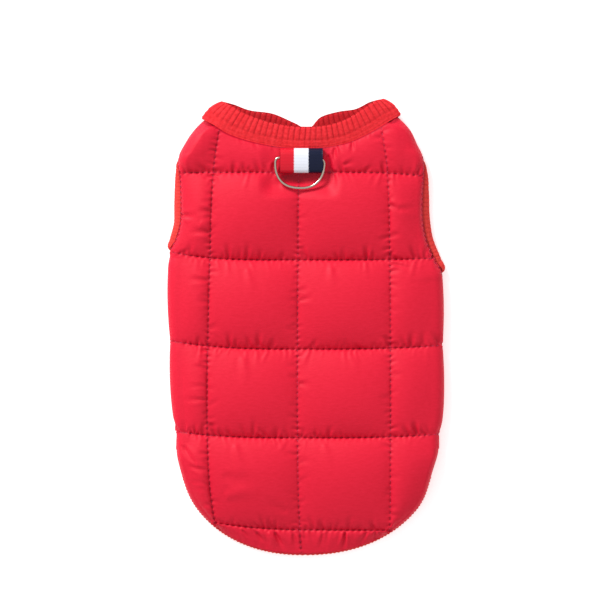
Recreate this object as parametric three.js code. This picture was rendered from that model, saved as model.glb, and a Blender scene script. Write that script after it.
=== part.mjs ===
// A small dog's winter coat, quilted in squares, laid flat with its back upwards.
// Millimetres, +Z up. The neck points along +Y and the rounded tail end along -Y.
// The coat is a flattened tube: the back panel is the upper layer and turns under at both sides,
// the belly panel lies below it, and rib-knit bands finish the neck and the two leg holes.
import * as THREE from "three";

// The cloth
const SHELL = 2.2; // the back panel's thickness along a quilting seam
const PUFF = 7.2; // how far the filling lifts the middle of a square
const SIDE_PUFF = 1.3; // how far it lifts the rounded side edge
const BELLY = 6.0; // thickness of the lower layer, pressed flat by the surface
const GAP = 0.3; // between neighbouring pieces
const RIB_BAND = 2.4; // thickness of the folded rib-knit bands
const RIB_HEIGHT = 0.4; // how far a rib stands out
const SIDE_ROUND = 6; // half width of the rounded side edge
const OUTER_START = 0.34; // where the filling's arc begins, as a share of a square beside the fold
const SIDE_FALL = 0.4; // how much of the filling's height is lost from the outer seam to the side
const NECK_FILL = 0.62; // the filling's share above the last seam across
const HEM_FILL = 0.3; // and below the first

// The quilting: the x of the three seams that run from neck to tail
const SEAMS_ALONG = [
  { y: 112.0, left: -48.6, middle: -3.5, right: 42.8 },
  { y: 88.0, left: -52.0, middle: -3.9, right: 46.2 },
  { y: 38.0, left: -54.0, middle: -4.3, right: 47.6 },
  { y: -41.0, left: -55.5, middle: -4.6, right: 48.0 },
  { y: -86.0, left: -54.4, middle: -4.2, right: 47.9 },
  { y: -112.0, left: -51.0, middle: -3.6, right: 46.6 },
  { y: -129.0, left: -48.5, middle: -2.7, right: 44.0 },
];

// The five seams across, from the tail: y in the middle, and how far each has risen at its ends
const SEAMS_ACROSS = [
  { y: -115.2, left: 4.0, right: -0.6, reach: 52, power: 2 },
  { y: -62.4, left: 4.6, right: 1.5, reach: 76, power: 4 },
  { y: -12.4, left: 4.3, right: 2.1, reach: 76, power: 4 },
  { y: 37.6, left: 4.5, right: 1.2, reach: 76, power: 4 },
  { y: 87.0, left: -0.2, right: -2.5, reach: 70, power: 4 },
];
const TOP_SEAM = SEAMS_ACROSS.length - 1;
const SEAM_LEVEL = 0.42; // how far up the filling's height a seam along the coat lies

// The rounded tail end
const TAIL_START = -61;
const TAIL_END = -129.2;
const TAIL_POWER = 2.2;
const TAIL_CENTRE = -1;

// The leg holes: where each starts and ends along the coat
const LEG_HOLES = {
  left: { bottom: 40.5, top: 97.2 },
  right: { bottom: 27.0, top: 98.2 },
};

// The side seams, on the underside, and the belly panel's hem
const SIDE_SEAM = 50;
const SHOULDER_SEAM = 13; // inwards from the panel's edge, above the leg holes
const BELLY_HEM = -62;
const BELLY_HEM_RISE = 5;

// The binding under the tail's hem, and how far round the tail it reaches, as an angle
const HEM_BINDING = { height: 1.9, width: 8, proud: 0.7, end: 1.25 };

// The leash tab and its ring
const TAB = { centre: -2.5, width: 23.9 };
const RING = {
  centre: -2.8, bar: 94.5, height: 13.85, turn: -0.045, width: 27.6, depth: 16.5, corner: 2.1, wire: 1.5,
};

// Half widths of the back panel's outline, to each side, from the neck corners to the tail
const OUTLINE = [
  { y: 119.0, left: 56.6, right: 53.2 },
  { y: 111.0, left: 63.6, right: 59.6 },
  { y: 102.0, left: 69.2, right: 63.6 },
  { y: 97.0, left: 71.7, right: 66.3 },
  { y: 92.0, left: 72.3, right: 67.2 },
  { y: 85.0, left: 71.4, right: 67.2 },
  { y: 69.0, left: 70.8, right: 66.4 },
  { y: 59.0, left: 71.0, right: 66.7 },
  { y: 50.0, left: 73.4, right: 68.4 },
  { y: 43.0, left: 76.8, right: 70.9 },
  { y: 36.0, left: 78.2, right: 74.4 },
  { y: 30.0, left: 78.3, right: 77.5 },
  { y: 20.0, left: 78.3, right: 78.2 },
  { y: 0.0, left: 77.9, right: 78.3 },
  { y: -30.0, left: 76.9, right: 78.0 },
  { y: -52.0, left: 75.4, right: 77.6 },
  { y: -61.0, left: 74.0, right: 76.0 },
];

// The neck band round its ring: where it is sewn on, and its free edge
const NECK_BAND = [
  { seamX: -57.2, seamY: 117.6, seamZ: 5.2, freeX: -45.4, freeY: 126.6, freeZ: 5.0 }, // left fold
  { seamX: -51.5, seamY: 113.6, seamZ: 8.4, freeX: -42.0, freeY: 124.2, freeZ: 8.2 },
  { seamX: -43.0, seamY: 108.6, seamZ: 8.9, freeX: -35.5, freeY: 121.0, freeZ: 9.2 },
  { seamX: -30.0, seamY: 104.3, seamZ: 9.2, freeX: -25.5, freeY: 117.0, freeZ: 9.9 },
  { seamX: -16.0, seamY: 101.6, seamZ: 9.4, freeX: -13.5, freeY: 114.0, freeZ: 10.3 },
  { seamX: -1.5, seamY: 100.7, seamZ: 9.5, freeX: -0.5, freeY: 112.8, freeZ: 10.5 }, // back of the neck
  { seamX: 13.0, seamY: 101.5, seamZ: 9.4, freeX: 11.5, freeY: 113.7, freeZ: 10.3 },
  { seamX: 26.0, seamY: 104.6, seamZ: 9.2, freeX: 22.2, freeY: 117.0, freeZ: 9.9 },
  { seamX: 38.0, seamY: 110.4, seamZ: 8.9, freeX: 31.5, freeY: 122.6, freeZ: 9.2 },
  { seamX: 47.0, seamY: 115.8, seamZ: 8.4, freeX: 38.0, freeY: 126.4, freeZ: 8.2 },
  { seamX: 52.6, seamY: 119.6, seamZ: 5.2, freeX: 42.0, freeY: 128.2, freeZ: 5.0 }, // right fold
  { seamX: 46.5, seamY: 115.4, seamZ: 2.0, freeX: 36.8, freeY: 126.6, freeZ: 1.9 },
  { seamX: 35.0, seamY: 111.6, seamZ: 1.8, freeX: 28.5, freeY: 123.4, freeZ: 1.8 },
  { seamX: 22.0, seamY: 109.4, seamZ: 1.8, freeX: 18.5, freeY: 121.8, freeZ: 1.8 },
  { seamX: 10.0, seamY: 104.9, seamZ: 1.8, freeX: 8.6, freeY: 118.7, freeZ: 1.8 },
  { seamX: 1.5, seamY: 99.8, seamZ: 1.8, freeX: 1.6, freeY: 112.2, freeZ: 1.8 }, // front of the neck
  { seamX: -8.0, seamY: 103.4, seamZ: 1.8, freeX: -6.6, freeY: 115.6, freeZ: 1.8 },
  { seamX: -21.0, seamY: 108.4, seamZ: 1.8, freeX: -18.6, freeY: 120.7, freeZ: 1.8 },
  { seamX: -35.0, seamY: 110.4, seamZ: 1.8, freeX: -31.5, freeY: 122.6, freeZ: 1.8 },
  { seamX: -49.0, seamY: 113.4, seamZ: 2.0, freeX: -40.6, freeY: 125.2, freeZ: 1.9 },
];
const NECK_RIBS = 72;
const NECK_BOW = 3; // how far the band bows outwards at its two folds

// A leg hole's band round its ring: its sewn edge, its crown and its free edge, each as the distance
// inwards from the back panel's edge, the share of the hole's length and the height
const LEG_BAND = [
  { seam: [0.2, 0.49, 5.1], crown: [-6.2, 0.49, 0.6], free: [2.0, 0.49, 1.7] },
  { seam: [0.3, 0.67, 5.2], crown: [-5.2, 0.67, 1.0], free: [2.2, 0.66, 1.7] },
  { seam: [0.3, 0.84, 5.1], crown: [-2.8, 0.82, 2.6], free: [3.2, 0.79, 1.7] },
  { seam: [0.9, 0.945, 3.0], crown: [1.0, 0.89, 2.4], free: [4.5, 0.82, 1.7] },
  { seam: [7.8, 0.98, 1.7], crown: [7.2, 0.9, 1.7], free: [6.8, 0.825, 1.7] },
  { seam: [16.8, 0.94, 1.7], crown: [13.0, 0.865, 1.7], free: [9.2, 0.8, 1.7] },
  { seam: [19.6, 0.75, 1.7], crown: [15.0, 0.72, 1.7], free: [10.2, 0.69, 1.7] },
  { seam: [20.0, 0.49, 1.7], crown: [15.2, 0.49, 1.7], free: [10.4, 0.49, 1.7] },
  { seam: [20.0, 0.25, 1.7], crown: [15.2, 0.29, 1.7], free: [10.2, 0.32, 1.7] },
  { seam: [18.6, 0.05, 1.7], crown: [13.8, 0.13, 1.7], free: [9.2, 0.21, 1.7] },
  { seam: [9.0, 0.02, 1.7], crown: [7.6, 0.095, 1.7], free: [6.8, 0.175, 1.7] },
  { seam: [0.9, 0.05, 3.0], crown: [-2.6, 0.09, 2.4], free: [4.5, 0.18, 1.7] },
  { seam: [0.2, 0.15, 4.9], crown: [-5.8, 0.16, 1.6], free: [3.0, 0.2, 1.7] },
  { seam: [0.1, 0.31, 5.0], crown: [-6.0, 0.32, 0.7], free: [2.2, 0.33, 1.7] },
];
const LEG_RIBS = 56;

const FABRIC = { color: 0xd8273c, roughness: 0.62, metalness: 0 };
const RIB_KNIT = { color: 0xd93a40, roughness: 0.9, metalness: 0 };
const RIBBON = { color: 0xe6e8fa, roughness: 0.5, metalness: 0 };
const STEEL = { color: 0xb9b4ac, roughness: 0.25, metalness: 1 };

const lerp = THREE.MathUtils.lerp;
const clamp = THREE.MathUtils.clamp;
const smooth = (low, high, v) => THREE.MathUtils.smoothstep(v, low, high);
const point = (x, y, z) => new THREE.Vector3(x, y, z);

// The value of a table's column at a key, on a smooth curve through its rows.
function along(table, key, column, at) {
  const rising = table[0][key] < table[table.length - 1][key];
  const rows = rising ? table : [...table].reverse();
  const last = rows.length - 1;
  const v = clamp(at, rows[0][key], rows[last][key]);
  const i = clamp(rows.findIndex((row) => row[key] > v) - 1, 0, last - 1);
  const n = v >= rows[last][key] ? last - 1 : i;
  const slope = (k) => {
    const a = rows[Math.max(k - 1, 0)];
    const b = rows[Math.min(k + 1, last)];
    return (b[column] - a[column]) / (b[key] - a[key]);
  };
  const width = rows[n + 1][key] - rows[n][key];
  const t = (v - rows[n][key]) / width;
  const rise = rows[n + 1][column] - rows[n][column];
  const bend = (1 - t) * (slope(n) * width - rise) - t * (slope(n + 1) * width - rise);
  return rows[n][column] + t * rise + t * (1 - t) * bend;
}

// The panel's half width at y, to the left or right of the middle.
function halfWidth(side, y) {
  if (y >= TAIL_START) return along(OUTLINE, "y", side, y);
  const depth = clamp((TAIL_START - y) / (TAIL_START - TAIL_END), 0, 1);
  const shift = side === "left" ? -TAIL_CENTRE : TAIL_CENTRE;
  const span = OUTLINE[OUTLINE.length - 1][side] - shift;
  return shift + span * (1 - depth ** TAIL_POWER) ** (1 / TAIL_POWER);
}

// The hem's y below the last seam across, at x.
function hemAt(x) {
  const side = x < TAIL_CENTRE ? "left" : "right";
  const shift = side === "left" ? -TAIL_CENTRE : TAIL_CENTRE;
  const span = OUTLINE[OUTLINE.length - 1][side] - shift;
  const across = clamp(Math.abs(x - TAIL_CENTRE) / span, 0, 1);
  return TAIL_START - (TAIL_START - TAIL_END) * (1 - across ** TAIL_POWER) ** (1 / TAIL_POWER);
}

// The rows of the back panel where a leg hole starts and ends, and how open its side edge is there:
// 0 where the panel turns under, 1 beside the hole
const legHoleRows = ({ bottom, top }) => [
  { y: bottom - 1.2, open: 0 },
  { y: bottom + 1.2, open: 0.78 },
  { y: bottom + 8, open: 1 },
  { y: top - 8, open: 1 },
  { y: top - 1.5, open: 0.78 },
  { y: top + 1.2, open: 0 },
];

function openness(side, y) {
  const rows = legHoleRows(LEG_HOLES[side]);
  const next = rows.findIndex((row) => row.y >= y);
  if (next < 1) return 0;
  const [a, b] = [rows[next - 1], rows[next]];
  return lerp(a.open, b.open, (y - a.y) / (b.y - a.y));
}

// 0 in the body, 1 in the tail flap, past the belly panel's hem.
const flap = (y) => smooth(2, 13, BELLY_HEM - y);

// The x of a seam along the coat at y, and the y of a seam across it at x.
const alongAt = (name, y) => along(SEAMS_ALONG, "y", name, y);

function acrossAt(n, x) {
  const seam = SEAMS_ACROSS[n];
  const rise = x < 0 ? seam.left : seam.right;
  return seam.y + rise * Math.min(1, Math.abs(x) / seam.reach) ** seam.power;
}

// The y of a seam across where it reaches the panel's side edge.
const acrossEnd = (n, side) => SEAMS_ACROSS[n].y + SEAMS_ACROSS[n][side];

// The height of the back panel's inner face.
function innerHeight(x, y) {
  const body = BELLY + GAP;
  const dropped = smooth(4, 42, BELLY_HEM - y);
  const lifted = 2.0 * smooth(45, 95, y) * Math.max(0, 1 - (x / 56) ** 2);
  return lerp(body, HEM_BINDING.height + GAP, dropped) + lifted;
}

// How far the filling lifts a point of a square, from 0 on its seams to 1 in its middle.
function pillow(s, t) {
  const sideways = Math.sin(Math.PI * clamp(s, 0, 1)) ** 0.6;
  return lerp(SEAM_LEVEL, 1, sideways) * Math.sin(Math.PI * clamp(t, 0, 1)) ** 0.6;
}

// The leash tab and ring press the filling down.
function pressed(x, y) {
  const across = 1 - smooth(15, 24, Math.abs(x - RING.centre));
  const lengthwise = smooth(72, 84, y);
  return 1 - 0.72 * across * lengthwise;
}

// One closed wall from an outer and an inner grid of points; a ring's last row joins its first.
function wall(outer, inner, ring = false) {
  const rows = outer.length;
  const columns = outer[0].length;
  const corners = [...outer.flat(), ...inner.flat()];
  const at = (layer, r, c) => layer * rows * columns + (r % rows) * columns + c;
  const faces = [];
  const quad = (a, b, c, d) => faces.push(a, b, c, a, c, d);
  for (let r = 0; r < (ring ? rows : rows - 1); r++) {
    for (let c = 0; c < columns - 1; c++) {
      quad(at(0, r, c), at(0, r, c + 1), at(0, r + 1, c + 1), at(0, r + 1, c));
      quad(at(1, r, c), at(1, r + 1, c), at(1, r + 1, c + 1), at(1, r, c + 1));
    }
    quad(at(0, r, 0), at(0, r + 1, 0), at(1, r + 1, 0), at(1, r, 0));
    quad(at(0, r, columns - 1), at(1, r, columns - 1), at(1, r + 1, columns - 1), at(0, r + 1, columns - 1));
  }
  for (let c = 0; c < columns - 1 && !ring; c++) {
    quad(at(0, 0, c), at(1, 0, c), at(1, 0, c + 1), at(0, 0, c + 1));
    quad(at(0, rows - 1, c), at(0, rows - 1, c + 1), at(1, rows - 1, c + 1), at(1, rows - 1, c));
  }
  const geometry = new THREE.BufferGeometry().setFromPoints(corners);
  geometry.setIndex(faces);
  geometry.computeVertexNormals();
  return geometry;
}

function piece(name, geometry, finish) {
  const mesh = new THREE.Mesh(geometry, new THREE.MeshStandardMaterial(finish));
  mesh.name = name;
  return mesh;
}

// The back panel's columns, from its left side seam over the top to its right one.
function panelColumns() {
  const underside = (side) => [1, 0.5].map((share) => ({ zone: "under", side, share }));
  const fold = (side) => [1, 0.75, 0.5, 0.25].map((share) => ({ zone: "fold", side, share }));
  const outer = (side) => [0, 0.32, 0.64, 0.88].map((share) => ({ zone: "outer", side, share }));
  const square = (from, to, side) =>
    [0, 0.07, 0.25, 0.5, 0.75, 0.93].map((share) => ({ zone: "square", from, to, side, share }));
  const leftHalf = [...underside("left"), ...fold("left"), ...outer("left")];
  const rightHalf = [...underside("right"), ...fold("right"), ...outer("right")].reverse();
  const squares = [...square("left", "middle", "left"), ...square("middle", "right", "right")];
  const lastSeam = { zone: "square", from: "right", to: "right", side: "right", share: 0 };
  return [...leftHalf, ...squares, lastSeam, ...rightHalf];
}

// The back panel's rows, from the hem to the neck. A row lies between the seam across it is counted
// from and the next one, the hem or the neck, and has extra rows where a leg hole starts and ends.
function panelRows() {
  const rows = [1, 0.93, 0.75, 0.4].map((share) => ({ zone: "hem", n: 0, share }));
  const holeRows = ["left", "right"].flatMap((side) =>
    legHoleRows(LEG_HOLES[side]).map((row) => ({ side, y: row.y }))
  );
  for (let n = 0; n <= TOP_SEAM; n++) {
    const zone = n < TOP_SEAM ? "square" : "neck";
    const own = n < TOP_SEAM ? [0.07, 0.25, 0.5, 0.75, 0.93] : [0.08, 0.25, 0.52, 0.68, 0.85, 1];
    const endOf = (side) => (n < TOP_SEAM ? acrossEnd(n + 1, side) : NECK_CORNER[side]);
    const shareOf = ({ side, y }) => (y - acrossEnd(n, side)) / (endOf(side) - acrossEnd(n, side));
    const extra = holeRows.map(shareOf).filter((share) => share > 0 && share < 1);
    const kept = own.filter((share) => extra.every((other) => Math.abs(share - other) > 0.03));
    [0, ...kept, ...extra].sort((a, b) => a - b).forEach((share) => rows.push({ zone, n, share }));
  }
  return rows;
}

// Where the panel's neck edge is at x, on its upper and its lower half, and round its fold.
const BACK_OF_NECK = NECK_BAND.slice(0, 11);
const FRONT_OF_NECK = [NECK_BAND[0], ...NECK_BAND.slice(10).reverse()];
const NECK_CORNER = { left: 116.2, right: 116.9 };
const NECK_FOLD = 2.7; // the angle round the fold over which the neck edge rises to its corner
const backNeckline = (x, side) =>
  Math.min(along(BACK_OF_NECK, "seamX", "seamY", x) - GAP - 0.7, NECK_CORNER[side]);
const frontNeckline = (x, side) =>
  Math.min(along(FRONT_OF_NECK, "seamX", "seamY", x) - GAP - 0.25, NECK_CORNER[side]);

function foldNeckline(x, side, angle) {
  const level = lerp(backNeckline(x, side), frontNeckline(x, side), smooth(0, Math.PI, angle));
  const peak = Math.sin(Math.PI * clamp(angle / NECK_FOLD, 0, 1)) ** 3.5;
  return lerp(level, NECK_CORNER[side], peak);
}

// A row's y at x, given where the neck edge is there.
function rowY(row, x, neckEdge) {
  const seam = acrossAt(row.n, x);
  if (row.zone === "hem") return Math.min(lerp(seam, hemAt(x) + 0.2, row.share), seam - 0.6 * row.share);
  if (row.zone === "neck") return lerp(seam, neckEdge, row.share);
  return lerp(seam, acrossAt(row.n + 1, x), row.share);
}

// A row's y at the panel's side edge.
function rowEnd(row, side) {
  const start = acrossEnd(row.n, side);
  if (row.zone === "hem") return start;
  return lerp(start, row.zone === "neck" ? NECK_CORNER[side] : acrossEnd(row.n + 1, side), row.share);
}

// One point of the back panel: its outer and inner positions.
function panelPoint(row, column) {
  const { side } = column;
  const sign = side === "left" ? -1 : 1;
  const t = row.share;
  const sideY = rowEnd(row, side);

  // The section's side edge
  const open = openness(side, sideY);
  const tail = flap(sideY);
  const acrossPuff = SIDE_PUFF * Math.sin(Math.PI * t) ** 0.6 * (1 - open) * (row.zone === "hem" ? 0 : 1);
  const edge = halfWidth(side, sideY) - SIDE_PUFF * (1 - open) * (1 - tail);
  const round = lerp(lerp(SIDE_ROUND, 5, open), 3, tail);
  const turn = lerp(lerp(Math.PI, Math.PI / 3, open), 1.54, tail);
  const foldX = edge - round * Math.sin(Math.min(turn, Math.PI / 2));
  const seamLimit = halfWidth(side, sideY) - 3.5;

  // The column's x on the flat top
  const xAt = (y) => {
    if (column.zone === "square") {
      const x = lerp(alongAt(column.from, y), alongAt(column.to, y), column.share);
      const left = Math.max(alongAt("left", y), 3.5 - halfWidth("left", rowEnd(row, "left")));
      const right = Math.min(alongAt("right", y), halfWidth("right", rowEnd(row, "right")) - 3.5);
      return clamp(x, left, right);
    }
    const start = Math.min(Math.abs(alongAt(side, y)), seamLimit);
    return sign * lerp(Math.max(foldX, start + 0.3), start, column.zone === "outer" ? column.share : 0);
  };
  const topY = (x) => rowY(row, x, backNeckline(x, side));
  const x = xAt(topY(xAt(sideY)));
  const outwards = column.zone === "outer" ? lerp(OUTER_START, 1, column.share) : OUTER_START;
  const s = column.zone === "square" ? column.share : outwards;

  const top = innerHeight(x, topY(x)) + SHELL;
  const half = lerp(top / 2, top - HEM_BINDING.height - 0.5, tail);
  const middle = top - half;

  if (column.zone === "outer" || column.zone === "square") {
    const y = topY(x);
    const hemShare = row.zone === "hem" ? Math.max(0, (t - 0.3) / 0.71) : 0;
    const hemDrop = Math.sqrt(Math.max(0.06, 1 - hemShare ** 2));
    const neckDepth = clamp((backNeckline(x, side) - acrossAt(TOP_SEAM, x)) / 32, 0.4, 1);
    const shortness = { hem: HEM_FILL, square: 1, neck: NECK_FILL * neckDepth }[row.zone];
    const fall = column.zone === "outer" ? 1 - SIDE_FALL * (1 - column.share) ** 1.3 : 1;
    const lift = PUFF * pillow(s, t) * shortness * fall * pressed(x, y);
    const bottom = innerHeight(x, y);
    return {
      outer: point(x, y, bottom + (SHELL + lift) * hemDrop),
      inner: point(x, y, bottom),
    };
  }

  // Round the fold, and on the underside
  const share = column.zone === "fold" ? column.share : 1;
  const angle = turn * share;
  const quarters = angle / (Math.PI / 2);
  const turned = Math.sin(angle) / Math.sin(Math.min(turn, Math.PI / 2));
  const startLift = PUFF * pillow(OUTER_START, t) * (1 - SIDE_FALL) * (row.zone === "neck" ? NECK_FILL : 1);
  const foldLift = quarters < 1 ? lerp(startLift, acrossPuff, turned) : acrossPuff * (2 - quarters);
  const lift = (row.zone === "hem" ? 0 : 1) * foldLift * (tail > 0.5 ? 1 - 0.75 * share : 1);
  const normal = point(sign * Math.sin(angle), 0, Math.cos(angle));
  const arc = point(sign * (Math.abs(x) + round * Math.sin(angle)), 0, middle + half * Math.cos(angle));
  const outer = arc.clone().addScaledVector(normal, Math.max(lift, 0));
  const thin = lerp(1.9, 0.9, tail);
  const offset = arc.clone().addScaledVector(normal, -thin);
  offset.z = Math.max(offset.z, lerp(0, HEM_BINDING.height + GAP, tail));
  const creaseZ = BELLY + (GAP / 2) * (1 + Math.cos(angle));
  const crease = point(sign * (Math.abs(x) + Math.sin(angle)), 0, creaseZ);
  const inner = crease.clone().lerp(offset, Math.max(open, tail));
  const foldY = (px) => rowY(row, px, foldNeckline(sign * foldX, side, angle));
  const underY = (px) => rowY(row, sign * Math.max(Math.abs(px), edge), frontNeckline(px, side));
  if (column.zone === "under") {
    const wrapped = (1 - Math.min(1, open / 0.78)) * (1 - smooth(0, 12, BELLY_HEM - sideY));
    const atShoulder = sideY > LEG_HOLES[side].top;
    const shoulderY = underY(sign * (halfWidth(side, sideY) - SHOULDER_SEAM));
    const seamX = atShoulder ? halfWidth(side, shoulderY) - SHOULDER_SEAM : SIDE_SEAM + GAP / 2;
    const reach = column.share * Math.max(0.5, (Math.abs(x) - seamX) * wrapped);
    outer.x -= sign * reach;
    inner.x -= sign * reach;
    outer.y = underY(outer.x);
  } else {
    outer.y = foldY(quarters > 1 ? sign * edge : outer.x);
  }
  outer.z = Math.max(outer.z, 0);
  inner.y = outer.y;
  return { outer, inner };
}

function backPanel() {
  const columns = panelColumns();
  const grid = panelRows().map((row) => columns.map((column) => panelPoint(row, column)));
  const outer = grid.map((line) => line.map((p) => p.outer));
  const inner = grid.map((line) => line.map((p) => p.inner));
  return piece("back_panel", wall(outer, inner), FABRIC);
}

// A rib-knit band: a strip between its sewn edge and its free edge, bowed towards its crown, with
// ribs raised on its outer side. Each edge is a closed curve through the same number of points.
function ribBand(seam, crown, free, ribs, across) {
  const curves = [seam, crown, free].map((list) => new THREE.CatmullRomCurve3(list, true, "catmullrom", 0.5));
  const steps = ribs * 2;
  const fine = 1200;
  const lengths = [0];
  for (let i = 1; i <= fine; i++) {
    const step = curves[1].getPoint(i / fine).distanceTo(curves[1].getPoint((i - 1) / fine));
    lengths.push(lengths[i - 1] + step);
  }
  const rows = [];
  for (let r = 0; r < steps; r++) {
    const wanted = (lengths[fine] * r) / steps;
    const i = Math.max(1, lengths.findIndex((length) => length >= wanted));
    rows.push((i - 1 + (wanted - lengths[i - 1]) / (lengths[i] - lengths[i - 1])) / fine);
  }
  const on = (t, w) => {
    const [s, c, f] = curves.map((curve) => curve.getPoint(((t % 1) + 1) % 1));
    return s.multiplyScalar((1 - w) ** 2).addScaledVector(c, 2 * w * (1 - w)).addScaledVector(f, w * w);
  };
  const normal = (t, w) => {
    const round = on(t + 1e-3, w).sub(on(t - 1e-3, w));
    const over = on(t, Math.min(w + 0.02, 1)).sub(on(t, Math.max(w - 0.02, 0)));
    return round.cross(over).normalize();
  };
  const layer = (height) =>
    rows.map((t, r) => across.map((w) => on(t, w).addScaledVector(normal(t, w), height(r))));
  const outer = layer((r) => RIB_BAND / 2 + (r % 2 ? 0 : RIB_HEIGHT));
  const inner = layer(() => -RIB_BAND / 2);
  return wall(outer.reverse(), inner.reverse(), true);
}

function neckBand() {
  const seam = NECK_BAND.map((row) => point(row.seamX, row.seamY, row.seamZ));
  const free = NECK_BAND.map((row) => point(row.freeX, row.freeY, row.freeZ));
  const crown = seam.map((p, i) => {
    const middle = p.clone().lerp(free[i], 0.5);
    const onFold = i === 0 || i === 10;
    const outwards = point(i === 0 ? -0.75 : 0.75, 0.66, 0);
    return onFold ? middle.addScaledVector(outwards, NECK_BOW) : middle;
  });
  return piece("neck_band", ribBand(seam, crown, free, NECK_RIBS, [0, 0.5, 1]), RIB_KNIT);
}

function legBand(side) {
  const sign = side === "left" ? -1 : 1;
  const { bottom, top } = LEG_HOLES[side];
  const middle = lerp(bottom, top, 0.5);
  const place = ([inwards, share, z]) => {
    const y = lerp(bottom, top, share);
    const edge = inwards > 5 ? halfWidth(side, middle) : halfWidth(side, clamp(y, bottom + 3, top - 2));
    return point(sign * (edge - inwards), y, z);
  };
  const rows = side === "left" ? LEG_BAND : [...LEG_BAND].reverse();
  const seam = rows.map((row) => place(row.seam));
  const crown = rows.map((row) => place(row.crown));
  const free = rows.map((row) => place(row.free));
  return piece("leg_band_" + side, ribBand(seam, crown, free, LEG_RIBS, [0, 0.5, 1]), RIB_KNIT);
}

// The belly panel, flat on the surface: its outline is cut to the neck, the leg holes and its hem.
function bellyPanel() {
  const shape = new THREE.Shape();
  const hem = (x) => BELLY_HEM + BELLY_HEM_RISE * (1 - (x / SIDE_SEAM) ** 2);
  const start = SIDE_SEAM - 0.15;
  const outline = [];
  for (let i = -6; i <= 6; i++) outline.push([(start * i) / 6, hem((start * i) / 6)]);
  const legEdge = (side) => {
    const { bottom, top } = LEG_HOLES[side];
    const edge = halfWidth(side, lerp(bottom, top, 0.5));
    const rows = [
      { inwards: 21.0, share: 0.05 },
      { inwards: 20.5, share: 0.25 },
      { inwards: 20.5, share: 0.49 },
      { inwards: 20.3, share: 0.75 },
      { inwards: 19.4, share: 0.88 },
      { inwards: 17.6, share: 0.97 },
      { inwards: 14.8, share: 1.02 },
    ];
    const list = rows.map((row) => [edge - row.inwards, lerp(bottom, top, row.share)]);
    return [[start, bottom - 1.5], ...list];
  };
  const shoulder = (side) => [102, 106, 110].map((y) => [halfWidth(side, y) - SHOULDER_SEAM - GAP - 0.1, y]);
  outline.push(...legEdge("right"), ...shoulder("right"));
  for (let x = 43; x >= -43; x -= 3.3) outline.push([x, frontNeckline(x, x < 0 ? "left" : "right") - 0.2]);
  outline.push(...shoulder("left").map(([x, y]) => [-x, y]).reverse());
  outline.push(...legEdge("left").map(([x, y]) => [-x, y]).reverse());
  shape.setFromPoints(outline.map(([x, y]) => new THREE.Vector2(x, y)));
  const geometry = new THREE.ExtrudeGeometry(shape, { depth: BELLY, bevelEnabled: false });
  return piece("belly_panel", geometry, FABRIC);
}

// The binding under the tail's hem: a flat strip that shows as a thin line outside the panel.
function hemBinding() {
  const steps = 44;
  const power = 2 / TAIL_POWER;
  const top = [];
  const underside = [];
  for (let i = 0; i <= steps; i++) {
    const angle = lerp(-HEM_BINDING.end, HEM_BINDING.end, i / steps);
    const side = angle < 0 ? "left" : "right";
    const span = OUTLINE[OUTLINE.length - 1][side] - (side === "left" ? -TAIL_CENTRE : TAIL_CENTRE);
    const depth = TAIL_START - TAIL_END;
    const across = Math.sign(angle) * Math.abs(Math.sin(angle)) ** power;
    const edge = point(TAIL_CENTRE + span * across, TAIL_START - depth * Math.cos(angle) ** power, 0);
    const outwards = point(Math.sin(angle) / span, -Math.cos(angle) / depth, 0).normalize();
    const at = (distance, z) => edge.clone().addScaledVector(outwards, distance).setZ(z);
    const edges = [-HEM_BINDING.width, HEM_BINDING.proud];
    top.push(edges.map((distance) => at(distance, HEM_BINDING.height)));
    underside.push(edges.map((distance) => at(distance, 0)));
  }
  return piece("hem_binding", wall(top, underside), RIB_KNIT);
}

// The leash tab: a woven ribbon folded into a loop, sewn in under the neck band.
function leashTab() {
  const loop = [
    [100.2, 11.3], [97.0, 12.0], [92.0, 12.0], [88.0, 11.4], [87.0, 11.7],
    [86.9, 12.6], [90.2, 14.5], [93.1, 15.8], [96.7, 15.8], [98.8, 14.4], [100.2, 13.0],
  ];
  const space = [
    [98.8, 12.7], [92.0, 12.7], [88.3, 12.1], [87.9, 12.4],
    [90.5, 13.8], [93.4, 15.1], [96.4, 15.1], [98.3, 13.8],
  ];
  const vectors = (list) => list.map(([y, z]) => new THREE.Vector2(y, z));
  const shape = new THREE.Shape(vectors(loop));
  shape.holes.push(new THREE.Path(vectors(space).reverse()));
  const geometry = new THREE.ExtrudeGeometry(shape, { depth: TAB.width, bevelEnabled: false });
  // The section's y and z become the coat's, and its depth runs along x
  geometry.applyMatrix4(new THREE.Matrix4().makeBasis(point(0, 1, 0), point(0, 0, 1), point(1, 0, 0)));
  geometry.translate(TAB.centre - TAB.width / 2, 0, 0);
  return piece("leash_tab", geometry, RIBBON);
}

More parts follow.
